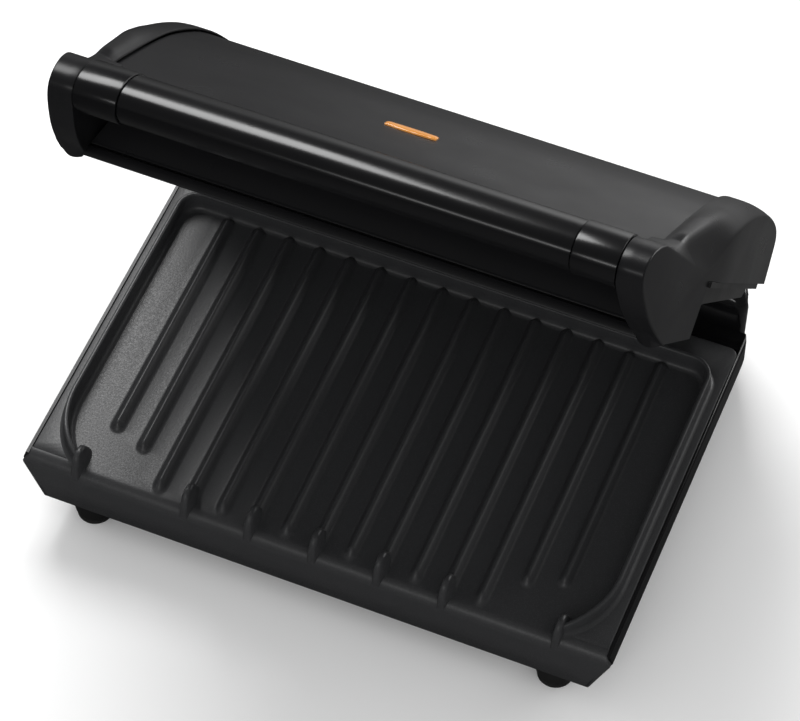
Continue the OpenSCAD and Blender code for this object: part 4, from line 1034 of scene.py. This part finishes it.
def rod_slot(s):
    """Plug the shape of the upright slot in a tower's inner wall, where the rod goes through."""
    skin = Skin()
    low, high = Vector((HINGE_D, HINGE_H)), Vector((HINGE_D, HINGE_H + FLOAT))
    ring = arc(low, SLOT_R, 180, 360, 12) + arc(high, SLOT_R, 0, 180, 12)
    rows = [[(s * x, p.x, p.y) for p in ring] for x in (TOWER_IN - 3, TOWER_IN + LID_WALL + 2)]
    skin.loft(rows, closed=True, caps=True)
    return skin


towers = cut(rear_cover_skin(), [rod_slot(1), rod_slot(-1)])
piece("rear_cover_skin", towers, BASE, "base", "tower_plastic", ("rear_cover",), sharp=40)

# %% [markdown]
# ## Feet
# Four turned-looking feet are moulded as short tapered drums. The lower rim is rounded, so
# only the rubber pad below it touches the worktop.

# %% Feet
# Half views of a foot and its pad: radius and height.
FOOT_VIEW = [(0, 0), (13.9, 0), (14, -0.4), (14, -1), (13.0, -14.6), (12.7, -16), (12.2, -17.2),
             (11.4, -18.3), (10.4, -19), (0, -19)]
PAD_VIEW = [(0, -18.8), (10.6, -18.8), (11.9, -19.6), (12, -20.4), (11.9, -21.4), (11.3, -22),
            (0, -22)]
LATHE_STEPS = 40


def turned(view, centre):
    """A lathe shape around an upright axis, from its half view."""
    skin = Skin()
    rows = []
    for k in range(LATHE_STEPS):
        t = 2 * math.pi * k / LATHE_STEPS
        c, s = math.cos(t), math.sin(t)
        rows.append([(centre[0] + r * c, centre[1] + r * s, centre[2] + z) for r, z in view])
    skin.loft(rows + [rows[0]])
    return skin


feet = {"front_left": (-160.5, 17), "front_right": (160.5, 17),
        "rear_left": (-138, 282), "rear_right": (138, 282)}
pads = Skin()
for place, (x, d) in feet.items():
    foot = turned(FOOT_VIEW, (x, d, -TUB_H))
    piece(f"foot_{place}_turned", foot, BASE, "base", "foot_plastic", (f"foot_{place}",))
    pads.add(turned(PAD_VIEW, (x, d, -TUB_H)))
piece("pads_turned", pads, BASE, "base", "pad_rubber", ("foot_pads",))

# %% [markdown]
# ## Camera
# Products are pictured from far away with a long lens, so that their parallel edges stay
# nearly parallel. The camera stands in front of the grill and to its right, high enough to
# look down on the whole ribbed plate.

# %% Camera
camera = bpy.data.objects.new("camera", bpy.data.cameras.new("camera"))
camera.location = (0.48878, -1.22801, 1.94759)
camera.rotation_euler = [math.radians(a) for a in (35.110852, -0.261279, 22.269041)]
camera.data.lens, camera.data.sensor_width, camera.data.sensor_fit = 159.315, 36, "HORIZONTAL"
bpy.context.scene.collection.objects.link(camera)
bpy.context.scene.camera = camera
print("camera", round(camera.location.length, 2), "m from the middle of the floor")

# %% [markdown]
# ## Lights
# Black goods are lit for their edges. A low wide light far behind on the right is mirrored
# in the glossy towers and caps, a high one at the left and behind draws the bright line along
# the upper edges, and a weak one in front keeps the lip and the housing from sinking away.

# %% Lights
def soft_light(name, place, aim, size, power):
    """A rectangular light that shines from its place towards a point; power in watts."""
    lamp = bpy.data.lights.new(name, "AREA")
    lamp.shape, lamp.size, lamp.size_y = "RECTANGLE", size[0], size[1]
    lamp.energy = power
    obj = bpy.data.objects.new(name, lamp)
    obj.location = place
    obj.rotation_euler = (Vector(aim) - Vector(place)).to_track_quat("-Z", "Y").to_euler()
    bpy.context.scene.collection.objects.link(obj)
    print(f"{name}: {power} W")


soft_light("backdrop", (1.5, 2.1, 0.40), (0, 0, 0.3), (1.6, 0.6), 20)
soft_light("left_back", (-0.8, 1.1, 1.7), (-0.05, -0.05, 0.06), (1.1, 0.9), 36)
soft_light("front", (0.1, -2.0, 1.3), (0, -0.1, 0.3), (1.3, 0.35), 7)

# %% [markdown]
# ## Surroundings and floor
# Black plastic shows whatever it mirrors, so white surroundings would turn the grill grey.
# The Light Path node tells what kind of ray asks. A ray straight from the camera sees white,
# a mirrored ray sees almost black, and all others a white a little dimmer. The floor is white
# paper, but its colour in mirror reflections is painted: a painted shadow, dark near the grill
# and to the left, and painted light, paler behind it to the right.

# %% White surroundings
FOR_OTHERS, FOR_MIRRORS = 0.75, 0.10
world = bpy.data.worlds.new("studio")
world.use_nodes = True
bpy.context.scene.world = world
sky = world.node_tree
plain = sky.nodes["Background"]
plain.inputs["Color"].default_value = (1, 1, 1, 1)
ray = node(sky, "ShaderNodeLightPath")
shine = ranged(sky, ray.outputs["Is Glossy Ray"], 0, 1, FOR_OTHERS, FOR_MIRRORS)
shown = node(sky, "ShaderNodeMath", operation="MAXIMUM")
sky.links.new(shine, shown.inputs[0])
sky.links.new(ray.outputs["Is Camera Ray"], shown.inputs[1])
sky.links.new(shown.outputs[0], plain.inputs["Strength"])
bpy.context.scene.view_settings.view_transform = "Standard"
print("surroundings", FOR_OTHERS, "and in mirror reflections", FOR_MIRRORS)

# %% Floor
WHITE = 0.92
bpy.ops.mesh.primitive_plane_add(size=12, location=(0, 0, 0))
floor = bpy.context.active_object
floor.name = "floor"
paper, paper_tree, paper_shader = material("paper", (WHITE, WHITE, WHITE), Roughness=0.9,
                                           Specular_IOR_Level=0.0)
seen = node(paper_tree, "ShaderNodeLightPath")
spot = node(paper_tree, "ShaderNodeSeparateXYZ")
paper_tree.links.new(on_object(paper_tree), spot.inputs["Vector"])
# Painted reflection: for mirrored rays the floor is painted darker near the grill and to the left (painted shadow)
# and paler behind it to the right (painted light).
behind = ranged(paper_tree, spot.outputs["Y"], 0.40, 1.3, 0.06, 0.60)
across = ranged(paper_tree, spot.outputs["X"], -0.40, 0.15, 0.30, 1.50)
painted_reflection_tone = node(paper_tree, "ShaderNodeMix", data_type="FLOAT")
painted_reflection_tone.inputs[2].default_value = WHITE
paper_tree.links.new(seen.outputs["Is Glossy Ray"], painted_reflection_tone.inputs[0])
paper_tree.links.new(times(paper_tree, behind, across), painted_reflection_tone.inputs[3])
paper_tree.links.new(painted_reflection_tone.outputs[0], paper_shader.inputs["Base Color"])
floor.data.materials.append(paper)
print("floor", tuple(round(v, 2) for v in floor.dimensions))
